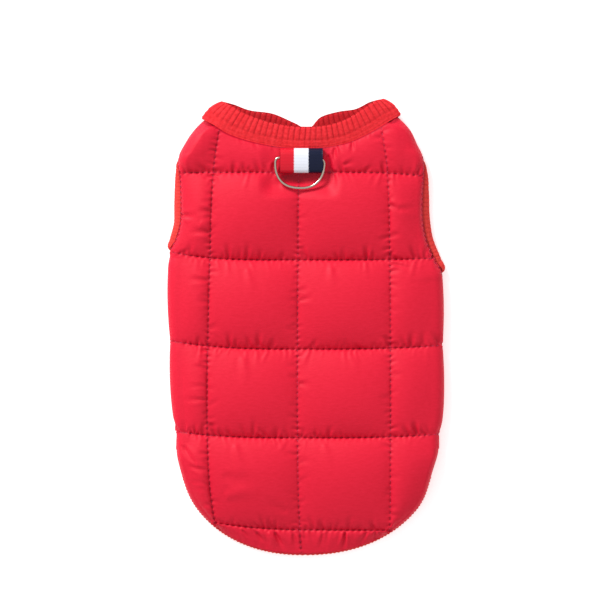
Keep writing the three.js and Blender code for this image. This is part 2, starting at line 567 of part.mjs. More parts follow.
// The D ring: a straight bar inside the loop and a bow round its end, bent from one wire.
function ringGeometry() {
  const half = RING.width / 2;
  const corner = RING.corner;
  const power = 2 / 2.4;
  const path = [];
  const bar = 8;
  for (let i = 0; i <= bar; i++) path.push(point(lerp(-half + corner, half - corner, i / bar), 0, 0));
  path.push(point(half - corner * (1 - Math.SQRT1_2), -corner * (1 - Math.SQRT1_2), 0));
  const bow = 34;
  for (let i = 0; i <= bow; i++) {
    const angle = (Math.PI * i) / bow;
    const drop = corner + (RING.depth - corner) * Math.sin(angle) ** power;
    const across = Math.sign(Math.cos(angle)) * Math.abs(Math.cos(angle)) ** power;
    path.push(point(half * across, -drop, 0));
  }
  path.push(point(corner * (1 - Math.SQRT1_2) - half, -corner * (1 - Math.SQRT1_2), 0));
  const curve = new THREE.CatmullRomCurve3(path, true, "catmullrom", 0.5);
  const around = 8;
  const steps = 60;
  const rows = [];
  for (let i = 0; i < steps; i++) {
    const centre = curve.getPointAt(i / steps);
    const tangent = curve.getTangentAt(i / steps);
    const sideways = new THREE.Vector3().crossVectors(tangent, point(0, 0, 1)).normalize();
    const section = [];
    for (let k = 0; k < around; k++) {
      const turn = (2 * Math.PI * k) / around;
      const spoke = sideways.clone().multiplyScalar(Math.cos(turn)).add(point(0, 0, Math.sin(turn)));
      section.push(centre.clone().addScaledVector(spoke, RING.wire / 2));
    }
    rows.push(section);
  }
  const faces = [];
  const at = (r, k) => (r % steps) * around + (k % around);
  for (let r = 0; r < steps; r++) {
    for (let k = 0; k < around; k++) {
      faces.push(at(r, k), at(r + 1, k + 1), at(r, k + 1), at(r, k), at(r + 1, k), at(r + 1, k + 1));
    }
  }
  const geometry = new THREE.BufferGeometry().setFromPoints(rows.flat());
  geometry.setIndex(faces);
  geometry.computeVertexNormals();
  return geometry;
}

function dRing() {
  const mesh = piece("d_ring", ringGeometry(), STEEL);
  mesh.position.set(RING.centre, RING.bar, RING.height);
  mesh.rotation.z = RING.turn;
  return mesh;
}

const coat = new THREE.Group();
coat.add(backPanel(), bellyPanel(), neckBand(), legBand("left"), legBand("right"));
coat.add(hemBinding(), leashTab(), dRing());

export default coat;
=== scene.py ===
# A small dog's winter coat, quilted in squares, laid flat with its back upwards on a white table.
# Sizes are in millimetres and become metres where a mesh is made. The neck points along +Y.
import math

import bpy
import numpy as np
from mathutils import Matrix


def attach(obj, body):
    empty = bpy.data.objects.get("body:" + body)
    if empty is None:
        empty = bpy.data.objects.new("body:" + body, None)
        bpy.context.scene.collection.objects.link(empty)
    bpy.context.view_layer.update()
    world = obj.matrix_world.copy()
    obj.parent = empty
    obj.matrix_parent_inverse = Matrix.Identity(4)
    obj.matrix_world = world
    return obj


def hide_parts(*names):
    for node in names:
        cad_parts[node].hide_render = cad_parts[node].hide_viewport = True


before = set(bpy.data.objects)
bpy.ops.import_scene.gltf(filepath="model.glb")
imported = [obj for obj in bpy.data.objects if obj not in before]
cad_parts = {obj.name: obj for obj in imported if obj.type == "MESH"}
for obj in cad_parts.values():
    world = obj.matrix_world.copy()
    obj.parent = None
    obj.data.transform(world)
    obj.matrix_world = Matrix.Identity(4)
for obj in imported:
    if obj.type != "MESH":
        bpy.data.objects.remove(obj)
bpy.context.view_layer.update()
MM = 0.001

# The cloth
SHELL = 2.2  # the back panel's thickness along a quilting seam
PUFF = 7.2  # how far the filling lifts the middle of a square
SIDE_PUFF = 1.3  # how far it lifts the rounded side edge
BELLY = 6.0  # thickness of the lower layer
GAP = 0.3  # between neighbouring pieces
SIDE_ROUND = 6.0  # half width of the rounded side edge
OUTER_START = 0.34  # where the filling's arc begins, as a share of a square beside the fold
SIDE_FALL = 0.7  # how much of the filling's height is lost from the outer seam to the side
SHOULDER_FALL = {"left": -0.15, "right": 0.4}  # and on the shoulders
NECK_FILL = 0.62  # the filling's share above the last seam across
HEM_FILL = 0.26  # and below the first
STITCH_PITCH = 3.4  # from one stitch to the next
THREAD = 0.4  # the sewing thread's width
STITCH_PULL = 0.28  # how far each stitch pulls the cloth down
STITCH_RISE = 0.42  # how far the cloth stands up between two stitches
EDGE_PITCH = 3.0  # from one stitch to the next beside the leg holes
EDGE_PULL = 0.45  # how far each of those draws the edge in
RIB_BAND = 2.4  # thickness of the folded rib-knit bands

# The quilting: y, then the x of the left, middle and right seams that run from neck to tail
SEAMS_ALONG = [
    (112.0, -48.6, -3.5, 42.8),
    (88.0, -52.0, -3.9, 46.2),
    (38.0, -54.0, -4.3, 47.6),
    (-41.0, -55.5, -4.6, 48.0),
    (-86.0, -54.4, -4.2, 47.9),
    (-112.0, -51.4, -3.4, 47.8),
    (-129.0, -48.5, -2.5, 46.6),
]

# The five seams across, from the tail: y in the middle, and how far each has risen at its ends
SEAMS_ACROSS = [
    {"y": -115.2, "left": 4.0, "right": -0.6, "reach": 52, "power": 2},
    {"y": -62.9, "left": 4.0, "right": 2.1, "reach": 76, "power": 3},
    {"y": -12.8, "left": 4.6, "right": 2.1, "reach": 76, "power": 3},
    {"y": 37.6, "left": 4.5, "right": 1.2, "reach": 76, "power": 4},
    {"y": 87.0, "left": -0.2, "right": -2.5, "reach": 70, "power": 4},
]
TOP_SEAM = 4
SEAM_LEVEL = 0.42  # how far up the filling's height a seam along the coat lies

# The rounded tail end
TAIL_START = -61.0
TAIL_END = -129.2
TAIL_POWER = 2.2
TAIL_CENTRE = -1.0
TAIL_SLANT = {"left": 0.017, "right": 0.031}  # how much narrower than round each side of it becomes

LEG_HOLES = {"left": (40.5, 97.2), "right": (27.0, 98.2)}
SIDE_SEAM = 50.0
SHOULDER_SEAM = 13.0
BELLY_HEM = -62.0
BELLY_HEM_RISE = 5.0
BINDING = {"height": 1.9, "width": 8.0, "proud": 0.7, "end": 1.25}

TAB = {"centre": -2.4, "width": 24.4}
RING = {"centre": -3.1, "bar": 94.5, "height": 13.85, "turn": -0.045}
RING_SHAPE = {"width": 27.6, "depth": 16.5, "corner": 2.1, "wire": 1.5}

# The photo: its width in pixels, the width of one in millimetres, and the pixel at the coat's middle
PHOTO_WIDTH = 605
PIXEL = 0.565
COAT_MIDDLE = (305.5, 326.5)

# Half widths of the back panel's outline: y, to the left, to the right
OUTLINE = [
    (119.0, 56.6, 53.2),
    (111.0, 63.6, 59.6),
    (102.0, 69.2, 63.6),
    (97.0, 71.7, 66.3),
    (92.0, 72.3, 67.2),
    (85.0, 71.4, 67.2),
    (69.0, 70.8, 66.4),
    (59.0, 71.0, 66.7),
    (50.0, 73.4, 68.4),
    (43.0, 76.8, 70.9),
    (36.0, 78.2, 74.4),
    (30.0, 78.3, 77.5),
    (20.0, 78.3, 78.2),
    (0.0, 77.9, 78.6),
    (-30.0, 76.9, 78.7),
    (-52.0, 75.4, 78.2),
    (-61.0, 74.0, 76.8),
]

# The neck band round its ring: its sewn edge, then its free edge, each as x, y, z
NECK_BAND = [
    ((-58.4, 117.4, 5.2), (-46.0, 126.8, 5.0)),
    ((-51.5, 113.6, 8.4), (-42.0, 124.9, 8.2)),
    ((-43.0, 108.6, 8.9), (-35.5, 121.0, 9.2)),
    ((-30.0, 104.3, 9.2), (-25.5, 117.0, 9.9)),
    ((-16.0, 101.6, 9.4), (-13.5, 114.0, 10.3)),
    ((-1.5, 100.7, 9.5), (-0.5, 112.8, 10.5)),
    ((13.0, 101.5, 9.4), (11.5, 113.7, 10.3)),
    ((26.0, 104.6, 9.2), (22.2, 117.0, 9.9)),
    ((38.0, 110.4, 8.9), (31.5, 122.6, 9.2)),
    ((47.0, 115.8, 8.4), (38.6, 127.3, 8.2)),
    ((53.6, 119.4, 5.2), (42.6, 128.3, 5.0)),
    ((46.5, 115.4, 2.0), (36.8, 127.4, 1.9)),
    ((35.0, 111.6, 1.8), (28.5, 123.4, 1.8)),
    ((22.0, 109.4, 1.8), (18.5, 121.8, 1.8)),
    ((10.0, 104.9, 1.8), (8.6, 118.7, 1.8)),
    ((1.5, 99.8, 1.8), (1.6, 112.2, 1.8)),
    ((-8.0, 103.4, 1.8), (-6.6, 115.6, 1.8)),
    ((-21.0, 108.4, 1.8), (-18.6, 120.7, 1.8)),
    ((-35.0, 110.4, 1.8), (-31.5, 122.6, 1.8)),
    ((-49.0, 113.4, 2.0), (-40.6, 125.9, 1.9)),
]
NECK_RIBS = 72
NECK_BOW = 3.0  # how far the band bows outwards at its two folds
NECK_CORNER = {"left": 117.2, "right": 119.0}
NECK_FOLD = 2.7  # the angle round the fold over which the neck edge rises to its corner

# A leg hole's band round its ring: its sewn edge, its crown and its free edge, each as the distance
# inwards from the back panel's edge, the share of the hole's length and the height
LEG_BAND = [
    ((0.2, 0.49, 5.65), (-6.2, 0.49, 0.6), (2.0, 0.49, 1.7)),
    ((0.3, 0.67, 5.7), (-5.2, 0.67, 1.0), (2.2, 0.66, 1.7)),
    ((0.3, 0.84, 5.55), (-2.8, 0.82, 2.6), (3.2, 0.79, 1.7)),
    ((0.9, 0.945, 4.6), (1.0, 0.89, 2.4), (4.5, 0.82, 1.7)),
    ((7.8, 0.98, 1.7), (7.2, 0.9, 1.7), (6.8, 0.825, 1.7)),
    ((16.8, 0.94, 1.7), (13.0, 0.865, 1.7), (9.2, 0.8, 1.7)),
    ((19.6, 0.75, 1.7), (15.0, 0.72, 1.7), (10.2, 0.69, 1.7)),
    ((20.0, 0.49, 1.7), (15.2, 0.49, 1.7), (10.4, 0.49, 1.7)),
    ((20.0, 0.25, 1.7), (15.2, 0.29, 1.7), (10.2, 0.32, 1.7)),
    ((18.6, 0.05, 1.7), (13.8, 0.13, 1.7), (9.2, 0.21, 1.7)),
    ((9.0, 0.02, 1.7), (7.6, 0.095, 1.7), (6.8, 0.175, 1.7)),
    ((0.9, 0.05, 4.3), (-2.6, 0.09, 2.4), (4.5, 0.18, 1.7)),
    ((0.2, 0.15, 5.3), (-5.8, 0.16, 1.6), (3.0, 0.2, 1.7)),
    ((0.1, 0.31, 5.6), (-6.0, 0.32, 0.7), (2.2, 0.33, 1.7)),
]
LEG_RIBS = 64


# Numbers

def lerp(a, b, t):
    return a + (b - a) * t


def smooth(low, high, v):
    t = np.clip((v - low) / (high - low), 0, 1)
    return t * t * (3 - 2 * t)


def unit(v):
    return v / np.maximum(np.linalg.norm(v, axis=-1, keepdims=True), 1e-9)


def along(keys, values, at):
    """The value at a key, on a smooth curve through the rows of a table."""
    k = np.array(keys, float)
    v = np.array(values, float)
    if k[0] > k[-1]:
        k = k[::-1]
        v = v[::-1]
    at = np.clip(at, k[0], k[-1])
    i = np.clip(np.searchsorted(k, at, side="right") - 1, 0, len(k) - 2)
    n = np.arange(len(k))
    before = np.maximum(n - 1, 0)
    after = np.minimum(n + 1, len(k) - 1)
    slope = (v[after] - v[before]) / (k[after] - k[before])
    width = k[i + 1] - k[i]
    t = (at - k[i]) / width
    rise = v[i + 1] - v[i]
    bend = (1 - t) * (slope[i] * width - rise) - t * (slope[i + 1] * width - rise)
    return v[i] + t * rise + t * (1 - t) * bend


def ring_curve(points, at):
    """Points of a smooth closed curve, at shares of its rows."""
    p = np.array(points, float)
    n = len(p)
    at = np.asarray(at, float) % 1.0 * n
    i = np.floor(at).astype(int)
    t = (at - i)[..., None]
    a, b, c, d = (p[(i + k) % n] for k in (-1, 0, 1, 2))
    m0 = 0.5 * (c - a)
    m1 = 0.5 * (d - b)
    t2 = t * t
    t3 = t2 * t
    return (2 * t3 - 3 * t2 + 1) * b + (t3 - 2 * t2 + t) * m0 + (3 * t2 - 2 * t3) * c + (t3 - t2) * m1


def lengths_along(line):
    """Each point's distance from the first along a line of points."""
    return np.concatenate([[0], np.cumsum(np.linalg.norm(np.diff(line, axis=0), axis=1))])


def even_shares(points, count):
    """Shares of a closed curve's rows that lie the same distance apart along it."""
    fine = np.linspace(0, 1, 4001)
    at = lengths_along(ring_curve(points, fine))
    return np.interp(np.arange(count) / count * at[-1], at, fine)


# The coat's outline and its layers

def tail_share(side, depth):
    """The tail's width, as a share of its start, at a share of its depth."""
    rounded = (1 - depth ** TAIL_POWER) ** (1 / TAIL_POWER)
    return rounded - TAIL_SLANT[side] * np.sin(math.pi * np.clip(depth / 0.64, 0, 1)) ** 2


def half_width(side, y):
    y = np.asarray(y, float)
    column = 1 if side == "left" else 2
    body = along([row[0] for row in OUTLINE], [row[column] for row in OUTLINE], np.maximum(y, TAIL_START))
    shift = -TAIL_CENTRE if side == "left" else TAIL_CENTRE
    depth = np.clip((TAIL_START - y) / (TAIL_START - TAIL_END), 0, 1)
    tail = shift + (OUTLINE[-1][column] - shift) * tail_share(side, depth)
    return np.where(y >= TAIL_START, body, tail)


def hem_at(x):
    span = np.where(x < TAIL_CENTRE, OUTLINE[-1][1] + TAIL_CENTRE, OUTLINE[-1][2] - TAIL_CENTRE)
    across = np.clip(np.abs(x - TAIL_CENTRE) / span, 0, 1)
    return TAIL_START - (TAIL_START - TAIL_END) * (1 - across ** TAIL_POWER) ** (1 / TAIL_POWER)


def openness(side, y):
    bottom, top = LEG_HOLES[side]
    keys = [bottom - 1.2, bottom + 1.2, bottom + 8, top - 8, top - 1.5, top + 1.2]
    return np.interp(y, keys, [0, 0.78, 1, 1, 0.78, 0])


def flap(y):
    return smooth(2, 13, BELLY_HEM - y)


def along_at(seam, y):
    """The x of the left, middle or right seam along the coat at y."""
    column = {"left": 1, "middle": 2, "right": 3}[seam]
    return along([row[0] for row in SEAMS_ALONG], [row[column] for row in SEAMS_ALONG], y)


def across_at(n, x):
    seam = SEAMS_ACROSS[n]
    rise = np.where(x < 0, seam["left"], seam["right"])
    return seam["y"] + rise * np.minimum(1, np.abs(x) / seam["reach"]) ** seam["power"]


def across_end(n, side):
    return SEAMS_ACROSS[n]["y"] + SEAMS_ACROSS[n][side]


def inner_height(x, y):
    dropped = smooth(4, 56, BELLY_HEM - y)
    lifted = 2.0 * smooth(45, 95, y) * np.maximum(0, 1 - (x / 56) ** 2)
    return lerp(BELLY + GAP, BINDING["height"] + GAP, dropped) + lifted


def pressed(x, y):
    across = 1 - smooth(15, 24, np.abs(x - RING["centre"]))
    return 1 - 0.8 * across * smooth(71, 82, y)


def neckline(x, side, back):
    line = ring_curve([row[0] for row in NECK_BAND], np.linspace(0 if back else 1, 0.5, 400))
    y = np.interp(x, np.maximum.accumulate(line[:, 0]), line[:, 1])
    return np.minimum(y - (0 if back else GAP + 0.25), NECK_CORNER[side])


def fold_neckline(x, side, angle):
    level = lerp(neckline(x, side, True), neckline(x, side, False), smooth(0, math.pi, angle))
    peak = np.sin(math.pi * np.clip(angle / NECK_FOLD, 0, 1)) ** 3.5
    return lerp(level, NECK_CORNER[side], peak)


# Meshes

def mesh_piece(name, points, faces):
    mesh = bpy.data.meshes.new(name)
    mesh.from_pydata((np.asarray(points) * MM).tolist(), [], [list(map(int, f)) for f in faces])
    mesh.update()
    mesh.shade_smooth()
    piece = bpy.data.objects.new(name, mesh)
    bpy.context.scene.collection.objects.link(piece)
    return piece


def grid_faces(rows, columns, start=0, ring=False, flip=False):
    """The quads of a grid of points; a ring's last row joins its first."""
    r = np.arange(rows if ring else rows - 1)[:, None]
    c = np.arange(columns - 1)[None, :]
    a = start + r * columns + c
    b = start + r * columns + c + 1
    d = start + (r + 1) % rows * columns + c
    e = start + (r + 1) % rows * columns + c + 1
    corners = (a, b, e, d) if not flip else (a, d, e, b)
    return np.stack([np.broadcast_to(k, a.shape) for k in corners], -1).reshape(-1, 4)


def double_faces(rows, columns):
    """The faces of a closed band of two layers of points, and the strips that join its two edges."""
    count = rows * columns
    r = np.arange(rows) * columns
    n = np.roll(r, -1)
    last = columns - 1
    return [
        grid_faces(rows, columns, 0, True, True),
        grid_faces(rows, columns, count, True),
        np.stack([r, n, count + n, count + r], 1),
        np.stack([r + last, count + r + last, count + n + last, n + last], 1),
    ]


def rim_of(rows, columns):
    """The row and column of each point on a grid's rim, all the way round."""
    there = [(0, c) for c in range(columns)] + [(r, columns - 1) for r in range(1, rows)]
    back = [(rows - 1, c) for c in range(columns - 2, -1, -1)] + [(r, 0) for r in range(rows - 2, 0, -1)]
    return there + back


def mark(piece, name, values):
    """Store a value at each point of a piece, for its material to read."""
    layer = piece.data.attributes.new(name, "FLOAT", "POINT")
    layer.data.foreach_set("value", values)


# Materials

def linear(hex_colour):
    channels = [int(hex_colour[i:i + 2], 16) / 255 for i in (1, 3, 5)]
    return tuple(c / 12.92 if c <= 0.04045 else ((c + 0.055) / 1.055) ** 2.4 for c in channels) + (1.0,)


def add_node(tree, kind, links=(), **settings):
    """A node with its settings and links: a setting is an attribute of the node or the default of an
    input, with _ for a space, and each link is (input, source node, source output)."""
    node = tree.nodes.new(kind)
    for key, value in settings.items():
        if hasattr(node, key):
            setattr(node, key, value)
        else:
            node.inputs[key.replace("_", " ")].default_value = value
    for target, source, output in links:
        tree.links.new(source.outputs[output], node.inputs[target])
    return node


def new_material(name):
    material = bpy.data.materials.new(name)
    material.use_nodes = True
    material.node_tree.nodes.clear()
    return material, material.node_tree


def finish_material(tree, shader):
    add_node(tree, "ShaderNodeOutputMaterial", [("Surface", shader, "BSDF")])


def polyester_taffeta():
    """Plain-woven polyester: a soft broad shine, darkened by painted shade stored at each point in seams,
    stitch holes, creases and hollows.
    """
    material, tree = new_material("polyester_taffeta")
    painted_shade_amount = add_node(tree, "ShaderNodeAttribute", attribute_name="painted_shade")
    place = add_node(tree, "ShaderNodeTexCoord")
    drawn_out = add_node(tree, "ShaderNodeMapping", [("Vector", place, "Object")], Scale=(0.35, 1.0, 1.0))
    slub = add_node(tree, "ShaderNodeTexNoise", [("Vector", drawn_out, "Vector")], Scale=900.0, Detail=4.0)
    bump = add_node(tree, "ShaderNodeBump", [("Height", slub, "Fac")], Strength=0.3, Distance=0.0003)
    cloth = add_node(tree, "ShaderNodeMix", [("Factor", slub, "Fac")], data_type="RGBA")
    cloth.inputs[6].default_value = linear("#d80e2d")
    cloth.inputs[7].default_value = linear("#e81b3b")
    # Painted shade: the cloth's red is mixed towards dark crimson by the painted shade amount at each point
    colour = add_node(tree, "ShaderNodeMix", [("Factor", painted_shade_amount, "Fac"), (6, cloth, 2)], data_type="RGBA")
    colour.inputs[7].default_value = linear("#9c0020")
    shader = add_node(
        tree, "ShaderNodeBsdfPrincipled",
        [("Base Color", colour, 2), ("Normal", bump, "Normal")],
        Roughness=0.55, Specular_IOR_Level=0.22,
    )
    finish_material(tree, shader)
    return material


def rib_knit(name, rib_shade, face):
    """Rib-knit acrylic: matt and fuzzy, with painted shade between its ribs, its loops a fine grain along
    them.
    """
    material, tree = new_material(name)
    place = add_node(tree, "ShaderNodeTexCoord")
    sunk = add_node(tree, "ShaderNodeAttribute", attribute_name="painted_rib_shade")
    loops = add_node(tree, "ShaderNodeTexNoise", [("Vector", place, "Object")], Scale=1100.0, Detail=2.0)
    patches = add_node(tree, "ShaderNodeTexNoise", [("Vector", place, "Object")], Scale=620.0, Detail=2.0)
    bump = add_node(tree, "ShaderNodeBump", [("Height", loops, "Fac")], Strength=0.55, Distance=0.0004)
    grain = add_node(tree, "ShaderNodeMix", [("Factor", patches, "Fac")], data_type="RGBA")
    grain.inputs[6].default_value = linear(face[0])
    grain.inputs[7].default_value = linear(face[1])
    # Painted shade: the knit's face is mixed towards a dark red between the ribs, in stitched grooves and on
    # the band's inner side
    colour = add_node(tree, "ShaderNodeMix", [("Factor", sunk, "Fac"), (6, grain, 2)], data_type="RGBA")
    colour.inputs[7].default_value = linear(rib_shade)
    shader = add_node(
        tree, "ShaderNodeBsdfPrincipled",
        [("Base Color", colour, 2), ("Normal", bump, "Normal")],
        Roughness=0.9, Specular_IOR_Level=0.12, Sheen_Weight=0.12, Sheen_Roughness=0.5,
    )
    shader.inputs["Sheen Tint"].default_value = linear("#ff8a80")
    finish_material(tree, shader)
    return material


def plain_finish(name, colour, roughness, **more):
    material, tree = new_material(name)
    look = {"Base_Color": linear(colour), "Roughness": roughness, **more}
    shader = add_node(tree, "ShaderNodeBsdfPrincipled", **look)
    finish_material(tree, shader)
    return material


def woven_ribbon(name, colour):
    """Satin-faced polyester ribbon: a close weave with a soft shine along its weft."""
    material, tree = new_material(name)
    place = add_node(tree, "ShaderNodeTexCoord")
    weft = add_node(
        tree, "ShaderNodeTexWave", [("Vector", place, "Object")],
        bands_direction="Y", Scale=380.0, Distortion=0.6, Detail=1.0,
    )
    bump = add_node(tree, "ShaderNodeBump", [("Height", weft, "Fac")], Strength=0.25, Distance=0.0002)
    shader = add_node(
        tree, "ShaderNodeBsdfPrincipled", [("Normal", bump, "Normal")],
        Base_Color=linear(colour), Roughness=0.36, Specular_IOR_Level=0.22,
    )
    finish_material(tree, shader)
    return material


TAFFETA = polyester_taffeta()
RIB = rib_knit("acrylic_rib_knit", "#960c16", ("#d2161f", "#ff4048"))
CUFF_RIB = rib_knit("elastane_rib_knit", "#c42a2a", ("#dc3432", "#f24c48"))
THREAD_RED = plain_finish("polyester_thread", "#b4204a", 0.45, Specular_IOR_Level=0.4)
STEEL = plain_finish("nickel_plated_steel", "#c4b4a6", 0.22, Metallic=1.0)
RIBBON_RED = woven_ribbon("ribbon_red", "#d8142c")
RIBBON_WHITE = woven_ribbon("ribbon_white", "#e9ebf6")
RIBBON_NAVY = woven_ribbon("ribbon_navy", "#0c1330")


# The back panel

FINE = 0.6  # spacing of the cloth's points across the top
ROW = 0.75  # and along it, closer at the seams
COARSE = 1.6  # and round the sides
CREASE_SEED = 11


def spaced(a, b, step):
    """Values from a up to but without b, about a step apart."""
    n = max(1, int(round(abs(b - a) / step)))
    return [lerp(a, b, i / n) for i in range(n)]


def closer_at_ends(length, step):
    """Shares from 0 up to but without 1, closer together at both ends."""
    n = max(2, int(round(length / step)))
    u = np.arange(n) / n
    return list(u - 0.5 * np.sin(2 * math.pi * u) / (2 * math.pi))


def panel_rows():
    """Each row's zone, the seam across that it is counted from and its share of the way from there."""
    hem = [("hem", 0, 1 - s) for s in spaced(0, 1, ROW / 15)]
    squares = [("square", n, s) for n in range(TOP_SEAM) for s in closer_at_ends(50, ROW)]
    neck = [("neck", TOP_SEAM, s) for s in spaced(0, 1, ROW / 24)] + [("neck", TOP_SEAM, 1.0)]
    return hem + squares + neck


def panel_columns():
    """Each column's zone, side and share, from one side seam over the top to the other."""
    outer = [("outer", s) for s in spaced(0, 1, FINE / 19)]
    fold = [("fold", s) for s in spaced(1, 0, COARSE / 20)]
    under = [("under", s) for s in spaced(1, 0, 2 * COARSE / 22)]
    left = [(zone, "left", share) for zone, share in under + fold + outer]
    right = [(zone, "right", share) for zone, share in (under + fold + outer)[::-1]]
    middle = [("left_square", "left", s) for s in spaced(0, 1, FINE / 50)]
    middle += [("right_square", "right", s) for s in spaced(0, 1, FINE / 52)]
    return left + middle + [("seam", "right", 1.0)] + right


def pillow(s, t):
    sideways = np.maximum(np.sin(math.pi * np.clip(s, 0, 1)), 0) ** 0.6
    return lerp(SEAM_LEVEL, 1, sideways) * np.maximum(np.sin(math.pi * np.clip(t, 0, 1)), 0) ** 0.55


def panel_patch(zone, n, t, side, kind, share):
    """A patch of the back panel between two seams across, to one side: its points without filling,
    its outward directions, how far the filling lifts each, and its inner points."""
    sign = -1 if side == "left" else 1
    t = t[:, None]
    kind = kind[None, :]
    share = share[None, :]
    on_fold = (kind == "fold") | (kind == "under")

    def row_end(at_side):
        start = across_end(n, at_side)
        if zone == "hem":
            return start + 0 * t
        return lerp(start, NECK_CORNER[at_side] if zone == "neck" else across_end(n + 1, at_side), t)

    def row_y(x, neck_edge):
        seam = across_at(n, x)
        if zone == "hem":
            return np.minimum(lerp(seam, hem_at(x) + 0.2, t), seam - 0.6 * t)
        return lerp(seam, neck_edge if zone == "neck" else across_at(n + 1, x), t)

    # The section's side edge
    side_y = row_end(side)
    opened = openness(side, side_y)
    tail = flap(side_y)
    lifted = 0 if zone == "hem" else 1
    across_puff = SIDE_PUFF * np.maximum(np.sin(math.pi * t), 0) ** 0.6 * (1 - opened) * lifted
    width = half_width(side, side_y)
    edge = width - SIDE_PUFF * (1 - opened) * (1 - tail)
    rounding = lerp(lerp(SIDE_ROUND, 5, opened), 3, tail)
    turn = lerp(lerp(math.pi, math.pi / 3, opened), 1.54, tail)
    fold_x = edge - rounding * np.sin(np.minimum(turn, math.pi / 2))

    # Each column's x on the flat top
    left_limit = 3.5 - half_width("left", row_end("left"))
    right_limit = half_width("right", row_end("right")) - 3.5

    def x_at(y):
        low = np.maximum(along_at("left", y), left_limit)
        high = np.minimum(along_at("right", y), right_limit)
        middle = along_at("middle", y)
        square = np.where(kind == "left_square", lerp(along_at("left", y), middle, share),
                          lerp(middle, along_at("right", y), share))
        start = np.minimum(np.abs(along_at(side, y)), width - 3.5)
        outer = sign * lerp(np.maximum(fold_x, start + 0.3), start, np.where(kind == "outer", share, 0))
        return np.where((kind == "outer") | on_fold, outer, np.clip(square, low, high))

    def top_y(x):
        return row_y(x, neckline(x, side, True))

    x = x_at(top_y(x_at(side_y + 0 * share)))
    y = top_y(x)
    s = np.where(kind == "outer", lerp(OUTER_START, 1, share), np.where(on_fold, OUTER_START, share))

    # How far round the fold each point is, and how far in on the underside
    turned = np.where(kind == "fold", share, np.where(kind == "under", 1.0, 0.0))
    angle = turn * turned
    quarters = angle / (math.pi / 2)
    fold_y = row_y(sign * np.where(quarters > 1, edge, np.abs(x) + rounding * np.sin(angle)),
                   fold_neckline(sign * fold_x, side, angle))
    wrapped = (1 - np.minimum(1, opened / 0.78)) * (1 - smooth(0, 12, BELLY_HEM - side_y))

    def under_y(px):
        return row_y(sign * np.maximum(np.abs(px), edge), neckline(px, side, False))

    shoulder_x = half_width(side, under_y(sign * (width - SHOULDER_SEAM))) - SHOULDER_SEAM
    seam_x = np.where(side_y > LEG_HOLES[side][1], shoulder_x, SIDE_SEAM + GAP / 2)
    reach = np.where(kind == "under", share * np.maximum(0.5, (np.abs(x) - seam_x) * wrapped), 0)

    top = inner_height(x, y) + SHELL
    half = lerp(top / 2, top - BINDING["height"] - 0.5, tail)
    hem_share = np.maximum(0, (t - 0.12) / 0.89) if zone == "hem" else 0 * t
    hem_drop = 1 - 0.75 * hem_share ** 1.3
    flat_x = np.abs(x) + np.where(on_fold, rounding * np.sin(angle), 0) - reach
    flat_z = np.where(on_fold, top - half + half * np.cos(angle), inner_height(x, y) + SHELL * hem_drop)
    flat_y = np.where(kind == "under", under_y(sign * flat_x), np.where(kind == "fold", fold_y, y))

    neck_depth = np.clip((neckline(x, side, True) - across_at(TOP_SEAM, x)) / 32, 0.4, 1)
    shortness = {"hem": HEM_FILL, "square": 1, "neck": NECK_FILL * neck_depth}[zone]
    side_fall = SHOULDER_FALL[side] if zone == "neck" else SIDE_FALL
    fall = np.where(kind == "outer", 1 - side_fall * (1 - share) ** 1.3, 1)
    on_top = PUFF * pillow(s, t ** 0.6 if zone == "hem" else t) * shortness * fall * pressed(x, y) * hem_drop
    start_lift = PUFF * pillow(OUTER_START, t) * (1 - side_fall) * shortness
    way = np.sin(angle) / np.sin(np.minimum(turn, math.pi / 2))
    fold_lift = np.where(quarters < 1, lerp(start_lift, across_puff, way), across_puff * (2 - quarters))
    fold_lift = np.maximum(fold_lift, 0) * lifted * np.where(tail > 0.5, 1 - 0.75 * turned, 1)

    thin = lerp(1.9, 0.9, tail)
    lowest = lerp(0, BINDING["height"] + GAP, tail)
    open_x = flat_x - thin * np.sin(angle)
    open_z = np.maximum(flat_z - thin * np.cos(angle), lowest)
    closed_x = np.abs(x) + np.sin(angle) - reach
    closed_z = BELLY + GAP / 2 * (1 + np.cos(angle))
    mix = np.maximum(opened, tail)
    inner_x = np.where(on_fold, lerp(closed_x, open_x, mix), np.abs(x))
    inner_z = np.where(on_fold, lerp(closed_z, open_z, mix), inner_height(x, y))

    outwards = np.where(x * sign < 0, -1, 1) * sign
    base = np.stack([outwards * flat_x, flat_y, np.maximum(flat_z, 0)], -1)
    inner = np.stack([outwards * inner_x, flat_y, inner_z], -1)
    normal = np.stack([sign * np.sin(angle) + 0 * x, 0 * x, np.cos(angle) + 0 * x], -1)
    spread = outwards * (np.abs(x) + rounding * angle + reach)
    return base, normal, np.where(on_fold, fold_lift, on_top), inner, spread


def panel_layers(rows, columns):
    """The whole back panel, patch by patch: the same arrays over its rows and columns."""
    patches = []
    kinds = np.array([c[0] for c in columns])
    sides = np.array([c[1] for c in columns])
    shares = np.array([c[2] for c in columns])
    for zone, n in dict.fromkeys((row[0], row[1]) for row in rows):
        t = np.array([row[2] for row in rows if row[:2] == (zone, n)])
        halves = []
        for side in ("left", "right"):
            chosen = sides == side
            halves.append(panel_patch(zone, n, t, side, kinds[chosen], shares[chosen]))
        patches.append([np.concatenate(pair, 1) for pair in zip(*halves)])
    return [np.concatenate(parts, 0) for parts in zip(*patches)]
